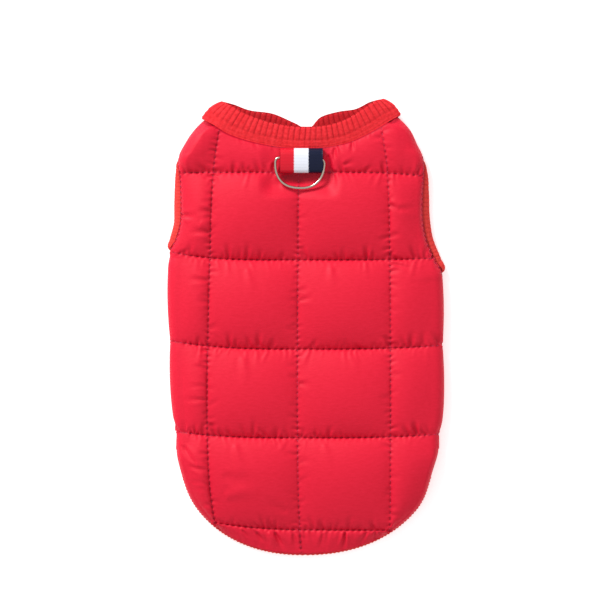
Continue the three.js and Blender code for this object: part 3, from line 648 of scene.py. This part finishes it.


# Creases, listed one by one: where each starts, the direction it runs in degrees, its length, its width
# and its depth, which is below 0 for a soft ridge
LONG_CREASES = [
    (-27, -11.5, 82, 12, 1.3, 0.8), (-30.5, -11.5, 118, 11, 1, 0.5), (-24, -11.8, 128, 9, 0.9, 0.5),
    (-29.5, -61.5, 84, 12, 1.1, 0.7), (-34, -61.5, 112, 9, 1, 0.5), (-22.5, -61.8, 130, 8, 0.9, 0.4),
    (-56, -41.2, 178, 14, 1, 1.1), (-56, -22.8, 174, 9, 0.9, 0.8), (-54.6, -45, 30, 9, 1.3, 0.4),
    (-69.5, -67, -58, 13, 1.2, 1), (-65, -78.5, -24, 12, 1.1, 1), (-64.5, -87.5, -6, 9, 0.9, 0.6),
    (-56, -80.4, 172, 8, 0.9, 0.6), (-61.5, -78, 128, 9, 1, 0.6), (-55.5, -92, 170, 10, 1, 0.4),
    (-3.9, -31.8, 4, 6, 0.9, 0.6), (-3.7, -86.5, 18, 9, 1, 0.5), (-3.7, -100, 30, 8, 1, 0.4),
    (48.2, -25.6, -12, 9, 1, 0.4), (48.2, -37, 10, 6, 0.9, 0.4), (48.2, -101, -20, 7, 1, 0.4),
    (-17.5, -116.3, -64, 13, 1.1, 1.6), (-21, -116, -66, 12, 1.4, -0.9),
    (22.4, -116.2, -94, 12, 0.9, 1.8), (-7, -117, -80, 11, 1.1, 0.9), (10, -117, -98, 10, 1.1, 0.8),
    (-36, -115, -48, 10, 1, 0.9), (-28, -116, -56, 11, 1, 1), (35, -116, -120, 9, 1, 0.7),
    (-54.4, 26, 173, 13, 1.2, 1.1), (47, 68.8, -24, 9, 1.2, 1.2), (-53.6, 53, 174, 14, 1.4, 1.1),
    (-71, 62.8, -6, 11, 1.2, 1.3), (52, 66, 6, 13, 1.6, 0.6), (-60, 58, 4, 12, 2.2, -0.6),
    (-3.9, 15, 9, 10, 1.2, 0.9), (-4.4, 14.6, 172, 7, 1, 0.6), (49, 35.4, -12, 14, 1, 0.6),
    (-53.2, 71, 186, 7, 0.9, 0.5), (47.4, 24, -8, 8, 1, 0.5), (47.2, 52, 6, 7, 0.9, 0.4),
    (-40, -66, -72, 20, 2.2, -0.5), (-36, -16.5, -76, 20, 2.2, -0.5), (-33, 33, -74, 18, 2, -0.4),
    (14, 34, -84, 15, 2, -0.35), (10, -66, -70, 14, 2, -0.35), (26, -15.5, -80, 14, 2, -0.3),
    (-47, -84, -16, 26, 3.2, 0.5), (-46, -96, 18, 24, 3, -0.5), (-10, -105, 150, 18, 2.4, 0.4),
    (-14.5, 83.6, 0, 30, 3.2, 2.6), (-3, -116.6, -86, 13, 0.8, 0.8), (-56, -33.5, 178, 12, 0.9, 0.8),
    (12.6, 97, -84, 17, 1.5, 2.2), (14.8, 89.5, -74, 12, 1.1, 1), (16.6, 101, -94, 10, 1, 1),
    (-17.5, 93, -98, 11, 1.3, 1), (26.6, 104.6, -92, 8, 0.9, 0.8), (21, 91, 20, 9, 1.2, 0.7),
]


def gathers(seed):
    """The small creases that the sewing gathers along each seam, uneven in place, length and depth."""
    dice = np.random.default_rng(seed)
    creases = []

    def gather(place, heading, pitch, length, depth, slant, limits):
        at = limits[0]
        lean = dice.normal(0, slant / 2)
        while at < limits[1]:
            x, y = place(at)
            lean = 0.7 * lean + dice.normal(0, slant * 0.6)
            size = dice.uniform(0.0, 1.0) ** 3
            reach = length[0] + (length[1] - length[0]) * size
            width = 0.42 + 0.75 * size + 0.25 * dice.uniform(0, 1)
            deep = depth * (0.5 + size) * dice.uniform(0.4, 1.3)
            creases.append((x, y, heading + lean, reach, width, deep))
            at += pitch * dice.uniform(0.7, 1.4)

    def on_rim(x):
        return x, float(neckline(np.array(x), "left" if x < 0 else "right", True))

    def on_hem(x):
        return x, float(hem_at(np.array(x)))

    for n in range(TOP_SEAM + 1):
        def on_seam(x, n=n):
            return x, float(across_at(n, np.array(x)))

        reach = 52 if n == 0 else 84
        gather(on_seam, 90, 1.7, (1.8, 11), 0.8, 32, (-reach, reach))
        gather(on_seam, -90, 3.2, (4, 16), -0.24 if n else 0.6, 24, (-reach, reach))
    for seam in ("left", "middle", "right"):
        def on_seam(y, seam=seam):
            return float(along_at(seam, np.array(y))), y

        for heading, depth in ((0, 0.4), (180, 0.7 if seam == "left" else 0.45)):
            gather(on_seam, heading, 3.2, (1.5, 9), depth, 20, (-124, 112))
    gather(on_rim, -90, 3.4, (2, 9), 0.4, 22, (-54, 50))
    gather(on_hem, 90, 3.4, (2, 7), 0.3, 22, (-66, 70))
    return creases


def creased(spread, y, creases):
    """How far each point of the cloth moves outwards for all the creases, and how deep in one it is.
    Each crease is bowed and widens, and the cloth beside it rises a little."""
    moved = np.zeros_like(y)
    sunk = np.zeros_like(y)
    row_middle = y.mean(axis=1)
    column_middle = spread.mean(axis=0)
    for start_x, start_y, heading, length, width, depth in creases:
        way = math.radians(heading)
        along_x, along_y = math.cos(way), math.sin(way)
        end_x, end_y = start_x + along_x * length, start_y + along_y * length
        margin = 3 * width + 7
        low_x, high_x = min(start_x, end_x) - margin, max(start_x, end_x) + margin
        low_y, high_y = min(start_y, end_y) - margin, max(start_y, end_y) + margin
        near_rows = slice(*np.searchsorted(row_middle, (low_y, high_y)))
        near_columns = slice(*np.searchsorted(column_middle, (low_x, high_x)))
        near = near_rows, near_columns
        dx = spread[near] - start_x
        dy = y[near] - start_y
        q = (dx * along_x + dy * along_y) / length
        p = dx * along_y - dy * along_x
        bowed = p - 0.06 * length * q * q * (1 if depth * start_x > 0 else -1)
        spreads = width * (0.65 + 0.9 * np.clip(q, 0, 1))
        profile = smooth(-0.02, 0.1, q) * (1 - smooth(0.15, 1.0, q))
        middle = np.exp(-(bowed / spreads) ** 2)
        shoulders = np.exp(-((np.abs(bowed) - 1.9 * spreads) / spreads) ** 2)
        moved[near] -= depth * profile * (middle - 0.3 * shoulders)
        sunk[near] += max(depth, 0) * profile * middle ** 1.5
    return moved, sunk


def smoothed(grid, rounds, weight):
    """A grid's values with each drawn towards the mean of its neighbours."""
    for _ in range(rounds):
        padded = np.pad(grid, 1, mode="edge")
        mean = (padded[:-2, 1:-1] + padded[2:, 1:-1] + padded[1:-1, :-2] + padded[1:-1, 2:]) / 4
        grid = lerp(grid, mean, weight)
    return grid


def seam_distance(points_x, points_y):
    """Each point's distance to the nearest quilting seam, and how far along that seam it is."""
    best = np.full(points_x.shape, 1e3)
    where = np.zeros(points_x.shape)
    for n in range(TOP_SEAM + 1):
        away = np.abs(points_y - across_at(n, points_x))
        nearer = away < best
        where = np.where(nearer, points_x, where)
        best = np.where(nearer, away, best)
    for seam in ("left", "middle", "right"):
        away = np.abs(points_x - along_at(seam, points_y))
        nearer = away < best
        where = np.where(nearer, points_y, where)
        best = np.where(nearer, away, best)
    return best, where


def back_quilt():
    rows = panel_rows()
    columns = panel_columns()
    base, normal, lift, inner, spread = panel_layers(rows, columns)
    nr, nc = lift.shape
    kinds = np.array([c[0] for c in columns])
    shares = np.array([c[2] for c in columns])
    seam_rows = [i for i, row in enumerate(rows) if row[0] != "hem" and row[2] == 0]
    on_seam = (kinds == "seam") | (np.char.endswith(kinds, "square") & (shares == 0))
    seam_columns = np.flatnonzero(on_seam)
    held = np.zeros((nr, nc), bool)
    held[[0, -1], :] = True
    held[:, [0, -1]] = True
    underneath = normal[..., 2] < -0.2
    away, where = seam_distance(base[..., 0], base[..., 1])
    on_top = ~held & ((lift > 0) | (normal[..., 2] > 0.3))
    moved, sunk = creased(spread, base[..., 1], gathers(CREASE_SEED) + LONG_CREASES)
    moved = smoothed(moved, 1, 0.4)
    moved = np.where(underneath, 0.25, 1.0) * moved * on_top
    # Between stitches the cloth stands up a little, and each stitch pulls it down
    stitch = smooth(0.3, 0.8, 0.5 + 0.5 * np.cos(2 * math.pi * where / STITCH_PITCH))
    near = np.exp(-(away / 0.9) ** 2)
    moved -= STITCH_PULL * stitch * near * on_top
    moved += STITCH_RISE * (1 - stitch) * near * on_top
    # Beside the leg holes the edge is drawn in at each stitch
    side_open = np.where(spread < 0, openness("left", base[..., 1]), openness("right", base[..., 1]))
    edging = (kinds == "fold")[None, :] * smooth(0.35, 0.9, shares)[None, :] * side_open
    edge_stitch = 0.5 + 0.5 * np.cos(2 * math.pi * base[..., 1] / EDGE_PITCH)
    moved -= EDGE_PULL * edging * edge_stitch
    moved = np.maximum(moved, -0.6 * lift - 0.9)
    points = base + normal * (lift + moved)[..., None]
    points[..., 2] = np.maximum(points[..., 2], 0.0)
    faces = grid_faces(nr, nc)
    # The lining side, with fewer points, and the strips that join the two all round
    few_rows = sorted(set(range(0, nr, 6)) | {nr - 1})
    few_columns = sorted(set(range(0, nc, 6)) | {nc - 1})
    lining = inner[np.ix_(few_rows, few_columns)]
    lining_faces = grid_faces(len(few_rows), len(few_columns), nr * nc, flip=True)
    rim_index = rim_of(nr, nc)
    rim = np.array([inner[i] for i in rim_index])
    rim_start = nr * nc + lining.shape[0] * lining.shape[1]
    outer_rim = np.array([r * nc + c for r, c in rim_index])
    inner_rim = rim_start + np.arange(len(rim_index))
    rim_faces = np.stack([outer_rim, inner_rim, np.roll(inner_rim, -1), np.roll(outer_rim, -1)], 1)
    every = np.concatenate([points.reshape(-1, 3), lining.reshape(-1, 3), rim])
    piece = mesh_piece("back_quilt", every, np.concatenate([faces, lining_faces, rim_faces]))
    piece.data.materials.append(TAFFETA)
    # Painted shade: the cloth is darkened in the hollows of seams, stitch holes and creases, under the tab,
    # along the neck edge beneath the band and on the strip that joins it to the lining
    shade = np.zeros(len(every), np.float32)
    # painted shade in the seams' grooves and stitch holes, and at the leg holes' edge stitches
    dark = np.exp(-(away / 0.5) ** 2) * (0.2 + 0.6 * stitch)
    dark = np.maximum(dark, edging ** 3 * (0.35 + 0.5 * edge_stitch))
    # painted shade in the creases near the seams
    dark = dark + 0.55 * sunk * np.exp(-away / 4)
    # painted shade in the hollow under the tab
    under_tab = 1 - smooth(9, 14, np.abs(base[..., 0] - TAB["centre"]))
    dark += 0.4 * under_tab * np.exp(-((base[..., 1] - 85.0) / 3.2) ** 2)
    dark = np.clip(dark * on_top, 0, 0.9)
    # painted shadow on the last rows at the neck edge, beneath the band
    dark[-2:] = 0.7
    shade[:nr * nc] = dark.reshape(-1)
    # painted shade on the strip round the panel's edge
    shade[rim_start:] = 0.5
    mark(piece, "painted_shade", shade)
    return piece, points, seam_rows, seam_columns


def stitch_row(path, pitch, length, width, height, sink, shift=0.5):
    """Short threads along a line of points, each one an arched stitch that dips at both ends."""
    at = lengths_along(path)
    count = int(at[-1] // pitch)
    around = 6
    rings = 5
    u = np.linspace(-1, 1, rings)
    round_off = np.sqrt(np.maximum(0.05, 1 - np.abs(u) ** 3))
    turn = 2 * math.pi * np.arange(around) / around
    centres = (np.arange(count) + shift) * at[-1] / count
    where = centres[:, None] + u[None, :] * length / 2
    line = np.stack([np.interp(where, at, path[:, k]) for k in range(3)], -1)
    tangent = unit(line[:, -1] - line[:, 0])
    side = unit(np.cross(tangent, [0, 0, 1.0]))
    up = height * (1 - u * u) - sink * u * u
    spokes = side[:, None, None, :] * (np.cos(turn)[None, None, :, None] * width / 2)
    spokes = spokes + np.array([0, 0, 1.0]) * (np.sin(turn)[None, None, :, None] * width / 2)
    grid = line[:, :, None, :] + spokes * round_off[None, :, None, None]
    grid = grid + np.array([0, 0, 1.0]) * up[None, :, None, None]
    faces = []
    for i in range(count):
        start = i * rings * around
        for j in range(rings - 1):
            for k in range(around):
                a = start + j * around + k
                b = start + j * around + (k + 1) % around
                faces.append((a, a + around, b + around, b))
        faces.append(tuple(start + k for k in range(around)))
        faces.append(tuple(start + (rings - 1) * around + k for k in range(around))[::-1])
    return grid.reshape(-1, 3), faces


def thread_piece(name, lines, material):
    """One mesh of the stitches along several lines, each with its own pitch, length and width."""
    points = []
    faces = []
    for path, pitch, length, width, height, sink in lines:
        p, f = stitch_row(path, pitch, length, width, height, sink)
        start = sum(len(part) for part in points)
        faces += [tuple(i + start for i in face) for face in f]
        points.append(p)
    piece = mesh_piece(name, np.concatenate(points), faces)
    piece.data.materials.append(material)
    return piece


def quilting_thread(points, seam_rows, seam_columns):
    """The stitches of every quilting seam. Those across stop short of the side seams underneath."""
    nc = points.shape[1]
    inside = slice(nc // 20, nc - nc // 20)
    lines = [points[row, inside] for row in seam_rows]
    lines += [points[4:, column] for column in seam_columns]
    return thread_piece(
        "quilting_thread",
        [(path, STITCH_PITCH, 1.9, THREAD, 0.1, 0.3) for path in lines],
        THREAD_RED,
    )


# The rib-knit bands

INSIDE_SHADE = 0.5  # painted shade over each band's inner side, where less light reaches


def band_surface(seam, crown, free, ribs, across, per_rib):
    """Points and outward directions of a band, from its sewn edge to its free edge."""
    t = even_shares(crown, ribs * per_rib)

    def on(t, w):
        w = np.asarray(w)[None, :, None]
        s, c, f = (ring_curve(curve, t)[:, None, :] for curve in (seam, crown, free))
        return (1 - w) ** 2 * s + 2 * w * (1 - w) * c + w * w * f

    w = np.linspace(0, 1, across)
    p = on(t, w)
    round_way = on(t + 1e-3, w) - on(t - 1e-3, w)
    over = on(t, np.minimum(w + 0.02, 1)) - on(t, np.maximum(w - 0.02, 0))
    return p, unit(np.cross(round_way, over)), w


def rib_band(name, seam, crown, free, ribs, height, plain, stitched):
    """A folded rib-knit band. Its ribs flatten towards the sewn edge up to the share plain, and rows of
    stitches press it down at the shares in stitched."""
    per_rib = 8
    across = 17
    p, out, w = band_surface(seam, crown, free, ribs, across, per_rib)
    dice = np.random.default_rng(ribs)
    rows = ribs * per_rib
    sway = np.interp(np.arange(rows), np.arange(ribs + 1) * per_rib, dice.normal(0, 0.12, ribs + 1))
    phase = (np.arange(rows)[:, None] / per_rib + sway[:, None] * (1 - w[None, :])) % 1
    rib = np.abs(np.cos(math.pi * phase)) ** 0.55
    tall = np.repeat(dice.uniform(0.75, 1.1, ribs), per_rib)[:, None]
    shown = lerp(0.25, 1, smooth(plain - 0.12, plain + 0.12, w[None, :])) if plain else 1.0
    edge = np.sqrt(np.maximum(0.0, 1 - np.abs(2 * w[None, :] - 1) ** 8))
    groove = sum(np.exp(-((w[None, :] - at) / 0.045) ** 2) for at in stitched) + 0 * w[None, :]
    lift = (RIB_BAND / 2 - 0.2 + height * rib * tall * shown - 0.3 * groove) * (0.25 + 0.75 * edge)
    under = -(RIB_BAND / 2 - 0.3 + height * rib) * (0.25 + 0.75 * edge)
    outer = p + out * lift[..., None]
    inner = p + out * under[..., None]
    inner[..., 2] = np.maximum(inner[..., 2], 0.02)
    outer[..., 2] = np.maximum(outer[..., 2], 0.02)
    count = rows * across
    points = np.concatenate([outer.reshape(-1, 3), inner.reshape(-1, 3)])
    piece = mesh_piece(name, points, np.concatenate(double_faces(rows, across)))
    # painted shade between the ribs and in the stitched grooves on the face, and over the whole inner side
    rib_shade = np.zeros(2 * count, np.float32)
    rib_shade[:count] = ((1 - rib) ** 1.5 * shown * 0.85 + 0.18 * groove).reshape(-1)
    rib_shade[count:] = (INSIDE_SHADE + (1 - rib) ** 1.5 * 0.6 + 0 * w[None, :]).reshape(-1)
    mark(piece, "painted_rib_shade", np.clip(rib_shade, 0, 1))
    return piece


def neck_rib():
    seam = np.array([row[0] for row in NECK_BAND])
    free = np.array([row[1] for row in NECK_BAND])
    crown = (seam + free) / 2
    crown[0] += NECK_BOW * np.array([-0.75, 0.66, 0])
    crown[10] += NECK_BOW * np.array([0.75, 0.66, 0])
    piece = rib_band("neck_rib", seam, crown, free, NECK_RIBS, 0.42, 0.36, (0.36, 0.17))
    piece.data.materials.append(RIB)
    return piece


def leg_rib(side):
    sign = -1 if side == "left" else 1
    bottom, top = LEG_HOLES[side]

    def place(spot):
        inwards, share, z = spot
        y = lerp(bottom, top, share)
        at = lerp(bottom, top, 0.5) if inwards > 5 else np.clip(y, bottom + 3, top - 2)
        further = 0.7 if side == "right" and inwards < -1 else 0
        return [sign * (float(half_width(side, at)) - inwards + further), y, z]

    rows = LEG_BAND if side == "left" else LEG_BAND[::-1]
    seam, crown, free = (np.array([place(row[k]) for row in rows]) for k in range(3))
    piece = rib_band("leg_rib_" + side, seam, crown, free, LEG_RIBS, 0.14, 0, ())
    piece.data.materials.append(CUFF_RIB)
    return piece


# The hem's binding, the belly panel, the tab and its ring

def hem_rib():
    steps = 520
    across = 9
    power = 2 / TAIL_POWER
    angle = np.linspace(-BINDING["end"], BINDING["end"], steps)
    span = np.where(angle < 0, OUTLINE[-1][1] + TAIL_CENTRE, OUTLINE[-1][2] - TAIL_CENTRE)
    depth = TAIL_START - TAIL_END
    down = np.minimum(np.cos(angle) ** power, 1)
    share = np.where(angle < 0, tail_share("left", down), tail_share("right", down))
    x = TAIL_CENTRE + span * np.sign(angle) * share
    y = TAIL_START - depth * np.cos(angle) ** power
    out = unit(np.stack([np.sin(angle) / span, -np.cos(angle) / depth, 0 * angle], 1))
    turn = np.linspace(-0.5 * math.pi, 0.5 * math.pi, across)
    rib = 0.2 * np.cos(np.arange(steps) * 2 * math.pi / 6)
    half = BINDING["height"] / 2
    strip = []
    for k in range(across):
        bulge = BINDING["proud"] - half + math.cos(turn[k]) * half
        strip.append(np.stack([x, y, 0 * x], 1) + out * (bulge + rib * math.cos(turn[k]))[:, None]
                     + np.array([0, 0, half + math.sin(turn[k]) * half]))
    inside = np.stack([x, y, 0 * x], 1) - out * BINDING["width"]
    rows = [inside + np.array([0, 0, 0.02])] + strip + [inside + np.array([0, 0, BINDING["height"]])]
    grid = np.stack(rows, 1)
    grid[..., 2] = np.maximum(grid[..., 2], 0.02)
    count = across + 2
    faces = grid_faces(steps, count)
    r = np.arange(steps - 1) * count
    back = np.stack([r, r + count - 1, r + 2 * count - 1, r + count], 1)
    ends = [list(range(count))[::-1], list(range((steps - 1) * count, steps * count))]
    piece = mesh_piece("hem_rib", grid.reshape(-1, 3), [*faces, *back, *ends])
    piece.data.materials.append(CUFF_RIB)
    return piece


def belly_sides(y):
    """How far the belly panel reaches to the left and right at y: its side seams, then the leg holes
    and the shoulders."""
    reaches = []
    for side in ("left", "right"):
        bottom, top = LEG_HOLES[side]
        edge = float(half_width(side, lerp(bottom, top, 0.5)))
        spots = [
            (21.0, 0.05), (20.5, 0.25), (20.5, 0.49), (20.3, 0.75), (19.4, 0.88), (17.6, 0.97), (14.8, 1.02),
        ]
        rows = [(49.85, -70), (49.85, bottom - 1.5)] + [(edge - a, lerp(bottom, top, b)) for a, b in spots]
        rows += [(float(half_width(side, v)) - SHOULDER_SEAM - GAP - 0.1, v) for v in (102, 106, 110, 112)]
        reaches.append(np.interp(y, [row[1] for row in rows], [row[0] for row in rows]))
    return reaches


def belly_quilt():
    """The belly panel: flat on the table, with its underside drawn up in shallow valleys by quilting
    like the back's, and a rounded edge."""
    nr, nc = 190, 121
    corner_y = 110.5
    rows = np.linspace(0, 1, nr)[:, None]
    across = np.linspace(-1, 1, nc)[None, :]
    side_y = lerp(BELLY_HEM, corner_y, rows)
    left, right = belly_sides(side_y)
    x = across * np.where(across < 0, left, right)
    neck = np.where(x < 0, neckline(x, "left", False), neckline(x, "right", False)) - 0.2
    y = side_y + (1 - rows) * BELLY_HEM_RISE * (1 - across ** 2) + rows ** 5 * (neck - corner_y)
    inset = np.minimum((1 - np.abs(across)) * 50, np.minimum(rows, 1 - rows) * 172)
    rounded = np.sqrt(np.clip(1 - (1 - np.clip(inset / 2.6, 0, 1)) ** 2, 0.02, 1))
    edges_x = [-80, -27, 25, 80]
    s = sum(np.where((x >= a) & (x < b), (x - a) / (b - a), 0) for a, b in zip(edges_x, edges_x[1:]))
    lines_y = [BELLY_HEM + 4, -12.4, 37.6, 87.0, 125.0]
    t = sum(np.where((y >= a) & (y < b), (y - a) / (b - a), 0) for a, b in zip(lines_y, lines_y[1:]))
    filled = (np.sin(math.pi * s) * np.sin(math.pi * t)) ** 0.5
    dice = np.random.default_rng(5)
    ripple = smoothed(dice.normal(0, 1, x.shape), 2, 0.7) * (1 - filled) * 0.5
    under = 1.5 * (1 - np.clip(filled * 1.7, 0, 1)) + np.maximum(ripple, 0) * 0.5
    middle = BELLY / 2
    bottom = middle - (middle - under) * rounded
    top = middle + middle * rounded
    grid = np.concatenate([np.stack([x, y, level], -1).reshape(-1, 3) for level in (top, bottom)])
    count = nr * nc
    faces = [grid_faces(nr, nc), grid_faces(nr, nc, count, flip=True)]
    outer = np.array([r * nc + c for r, c in rim_of(nr, nc)])
    faces.append(np.stack([outer, outer + count, np.roll(outer, -1) + count, np.roll(outer, -1)], 1))
    piece = mesh_piece("belly_quilt", grid, np.concatenate(faces))
    piece.data.materials.append(TAFFETA)
    mark(piece, "painted_shade", np.zeros(2 * count, np.float32))
    return piece


def ribbon_loop():
    """A striped woven ribbon folded into a loop; its stripes' edges are slightly scalloped."""
    outside = [
        (100.2, 11.3), (97.0, 12.0), (92.0, 12.0), (88.0, 11.4), (87.0, 11.9),
        (86.6, 13.2), (87.6, 14.6), (90.2, 15.4), (93.4, 15.8), (97.2, 15.7), (99.2, 14.6), (100.4, 13.0),
    ]
    space = [
        (98.8, 12.7), (92.0, 12.7), (88.3, 12.1), (87.4, 12.9), (88.0, 13.9), (90.4, 14.7), (93.6, 15.1),
        (96.9, 15.0), (98.6, 13.9),
    ]
    steps = 150

    outer = ring_curve(outside, even_shares(outside, steps))
    inner = ring_curve(space, even_shares(space, steps))
    inner = np.array([inner[np.argmin(np.linalg.norm(inner - p, axis=1))] for p in outer])
    inner = lerp(inner, np.roll(inner, 1, 0), 0.5)
    stripes = 3
    per_stripe = 10
    columns = stripes * per_stripe
    share = np.arange(columns + 1) / columns
    x = TAB["centre"] + (share - 0.5) * TAB["width"]
    scallop = 0.3 * np.cos(2 * math.pi * np.arange(steps) * 40 / steps)
    boundary = np.isin(np.arange(columns + 1), (per_stripe, 2 * per_stripe))
    grid_x = x[None, :] + np.where(boundary[None, :], scallop[:, None], 0)
    curl = 0.25 * (np.abs(2 * share - 1) ** 6)
    layers = []
    for line in (outer, inner):
        z = line[:, 1][:, None] - np.where(line[:, 1] > 12.9, 1, 0)[:, None] * curl[None, :]
        layers.append(np.stack([grid_x, line[:, 0][:, None] + 0 * grid_x, z], -1))
    points = np.concatenate([layer.reshape(-1, 3) for layer in layers])
    piece = mesh_piece("ribbon_loop", points, np.concatenate(double_faces(steps, columns + 1)))
    for material in (RIBBON_RED, RIBBON_WHITE, RIBBON_NAVY):
        piece.data.materials.append(material)
    stripe = np.tile(np.arange(columns) // per_stripe, steps)
    ends = [np.zeros(steps, int), np.full(steps, stripes - 1)]
    piece.data.polygons.foreach_set("material_index", np.concatenate([stripe, stripe, *ends]))
    return piece


def ring_wire():
    half = RING_SHAPE["width"] / 2
    corner = RING_SHAPE["corner"]
    inside = corner * (1 - math.sqrt(0.5))
    power = 2 / 2.4
    bar = 8
    path = [(lerp(-half + corner, half - corner, i / bar), 0) for i in range(bar + 1)]
    path.append((half - inside, -inside))
    bow = 34
    for i in range(bow + 1):
        angle = math.pi * i / bow
        drop = corner + (RING_SHAPE["depth"] - corner) * math.sin(angle) ** power
        across = math.copysign(abs(math.cos(angle)) ** power, math.cos(angle))
        path.append((half * across, -drop))
    path.append((inside - half, -inside))
    points = np.array([(x, y, 0.0) for x, y in path])
    steps = 180
    around = 16
    t = even_shares(points, steps)
    centre = ring_curve(points, t)
    tangent = unit(ring_curve(points, t + 1e-3) - ring_curve(points, t - 1e-3))
    upwards = np.array([0, 0, 1.0])
    sideways = unit(np.cross(tangent, upwards))
    a = 2 * math.pi * np.arange(around)[None, :, None] / around
    spokes = sideways[:, None, :] * np.cos(a) + upwards * np.sin(a)
    grid = centre[:, None, :] + spokes * RING_SHAPE["wire"] / 2
    turn = RING["turn"]
    x = grid[..., 0] * math.cos(turn) - grid[..., 1] * math.sin(turn) + RING["centre"]
    y = grid[..., 0] * math.sin(turn) + grid[..., 1] * math.cos(turn) + RING["bar"]
    grid = np.stack([x, y, grid[..., 2] + RING["height"]], -1)
    closed = np.concatenate([grid, grid[:, :1]], 1)
    faces = grid_faces(steps, around + 1, 0, True, True)
    piece = mesh_piece("d_ring_wire", closed.reshape(-1, 3), faces)
    piece.data.materials.append(STEEL)
    return piece


def edge_stitches(points, columns):
    """The stitching along the panel's edge at each leg hole."""
    lines = []
    for side, column in columns.items():
        bottom, top = LEG_HOLES[side]
        line = points[:, column]
        chosen = (line[:, 1] > bottom + 2) & (line[:, 1] < top - 1)
        lines.append((line[chosen], EDGE_PITCH, 1.5, 0.55, 0.2, 0.1))
    return thread_piece("leg_hole_thread", lines, THREAD_RED)


# Put the coat together

quilt, surface, seam_rows, seam_columns = back_quilt()
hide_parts("back_panel")
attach(quilt, "coat")

thread = quilting_thread(surface, seam_rows, seam_columns)
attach(thread, "coat")

kinds = [c[0] for c in panel_columns()]
fold_columns = [i for i, kind in enumerate(kinds) if kind == "fold"]
left_folds = fold_columns[:len(fold_columns) // 2]
right_folds = fold_columns[len(fold_columns) // 2:]
leg_thread = edge_stitches(surface, {"left": left_folds[2], "right": right_folds[-3]})
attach(leg_thread, "coat")

belly = belly_quilt()
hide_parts("belly_panel")
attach(belly, "coat")

band = neck_rib()
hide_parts("neck_band")
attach(band, "coat")

for side in ("left", "right"):
    cuff = leg_rib(side)
    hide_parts("leg_band_" + side)
    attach(cuff, "coat")

edge = hem_rib()
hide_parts("hem_binding")
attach(edge, "coat")

ribbon = ribbon_loop()
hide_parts("leash_tab")
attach(ribbon, "coat")

ring = ring_wire()
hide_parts("d_ring")
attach(ring, "d_ring")


# The table, the light and the camera

def table():
    bpy.ops.mesh.primitive_plane_add(size=6, location=(0, 0, -0.0002))
    plane = bpy.context.active_object
    plane.name = "table"
    lit = {"Emission_Color": linear("#ffffff"), "Emission_Strength": 0.45}
    plane.data.materials.append(plain_finish("opal_acrylic", "#f4f4f4", 0.7, **lit))


def softbox(name, place, size, power, aim=(0, 0, 0)):
    lamp = bpy.data.lights.new(name, "AREA")
    lamp.shape = "RECTANGLE"
    lamp.size, lamp.size_y = size
    lamp.energy = power
    holder = bpy.data.objects.new(name, lamp)
    bpy.context.scene.collection.objects.link(holder)
    holder.location = place
    direction = np.array(aim, float) - np.array(place, float)
    yaw = math.atan2(direction[1], direction[0]) - math.pi / 2
    pitch = math.acos(-direction[2] / np.linalg.norm(direction))
    holder.rotation_euler = (pitch, 0, yaw)


def camera():
    """Straight above, with the coat's middle where the photo has it and the photo's scale half way up."""
    middle = PHOTO_WIDTH / 2
    centre = ((middle - COAT_MIDDLE[0]) * PIXEL * MM, (COAT_MIDDLE[1] - middle) * PIXEL * MM)
    height = 1.5
    half_way_up = 0.0085
    view = bpy.data.cameras.new("camera")
    view.sensor_width = 36
    view.lens = view.sensor_width * (height - half_way_up) / (PHOTO_WIDTH * PIXEL * MM)
    view.clip_start = 0.01
    holder = bpy.data.objects.new("camera", view)
    bpy.context.scene.collection.objects.link(holder)
    holder.location = (*centre, height)
    bpy.context.scene.camera = holder


def daylight():
    world = bpy.data.worlds.new("soft_daylight")
    world.use_nodes = True
    tree = world.node_tree
    background = tree.nodes["Background"]
    place = add_node(tree, "ShaderNodeTexCoord")
    split = add_node(tree, "ShaderNodeSeparateXYZ", [("Vector", place, "Generated")])
    rise = add_node(
        tree, "ShaderNodeMapRange", [("Value", split, "Z")],
        From_Min=0.0, From_Max=0.85, To_Min=0.22, To_Max=0.8,
    )
    tree.links.new(rise.outputs["Result"], background.inputs["Strength"])
    background.inputs["Color"].default_value = (1, 1, 1, 1)
    bpy.context.scene.world = world


table()
softbox("window", (-1.8, 2.5, 1.75), (1.2, 0.9), 116)
camera()
daylight()
bpy.context.scene.view_settings.view_transform = "Standard"
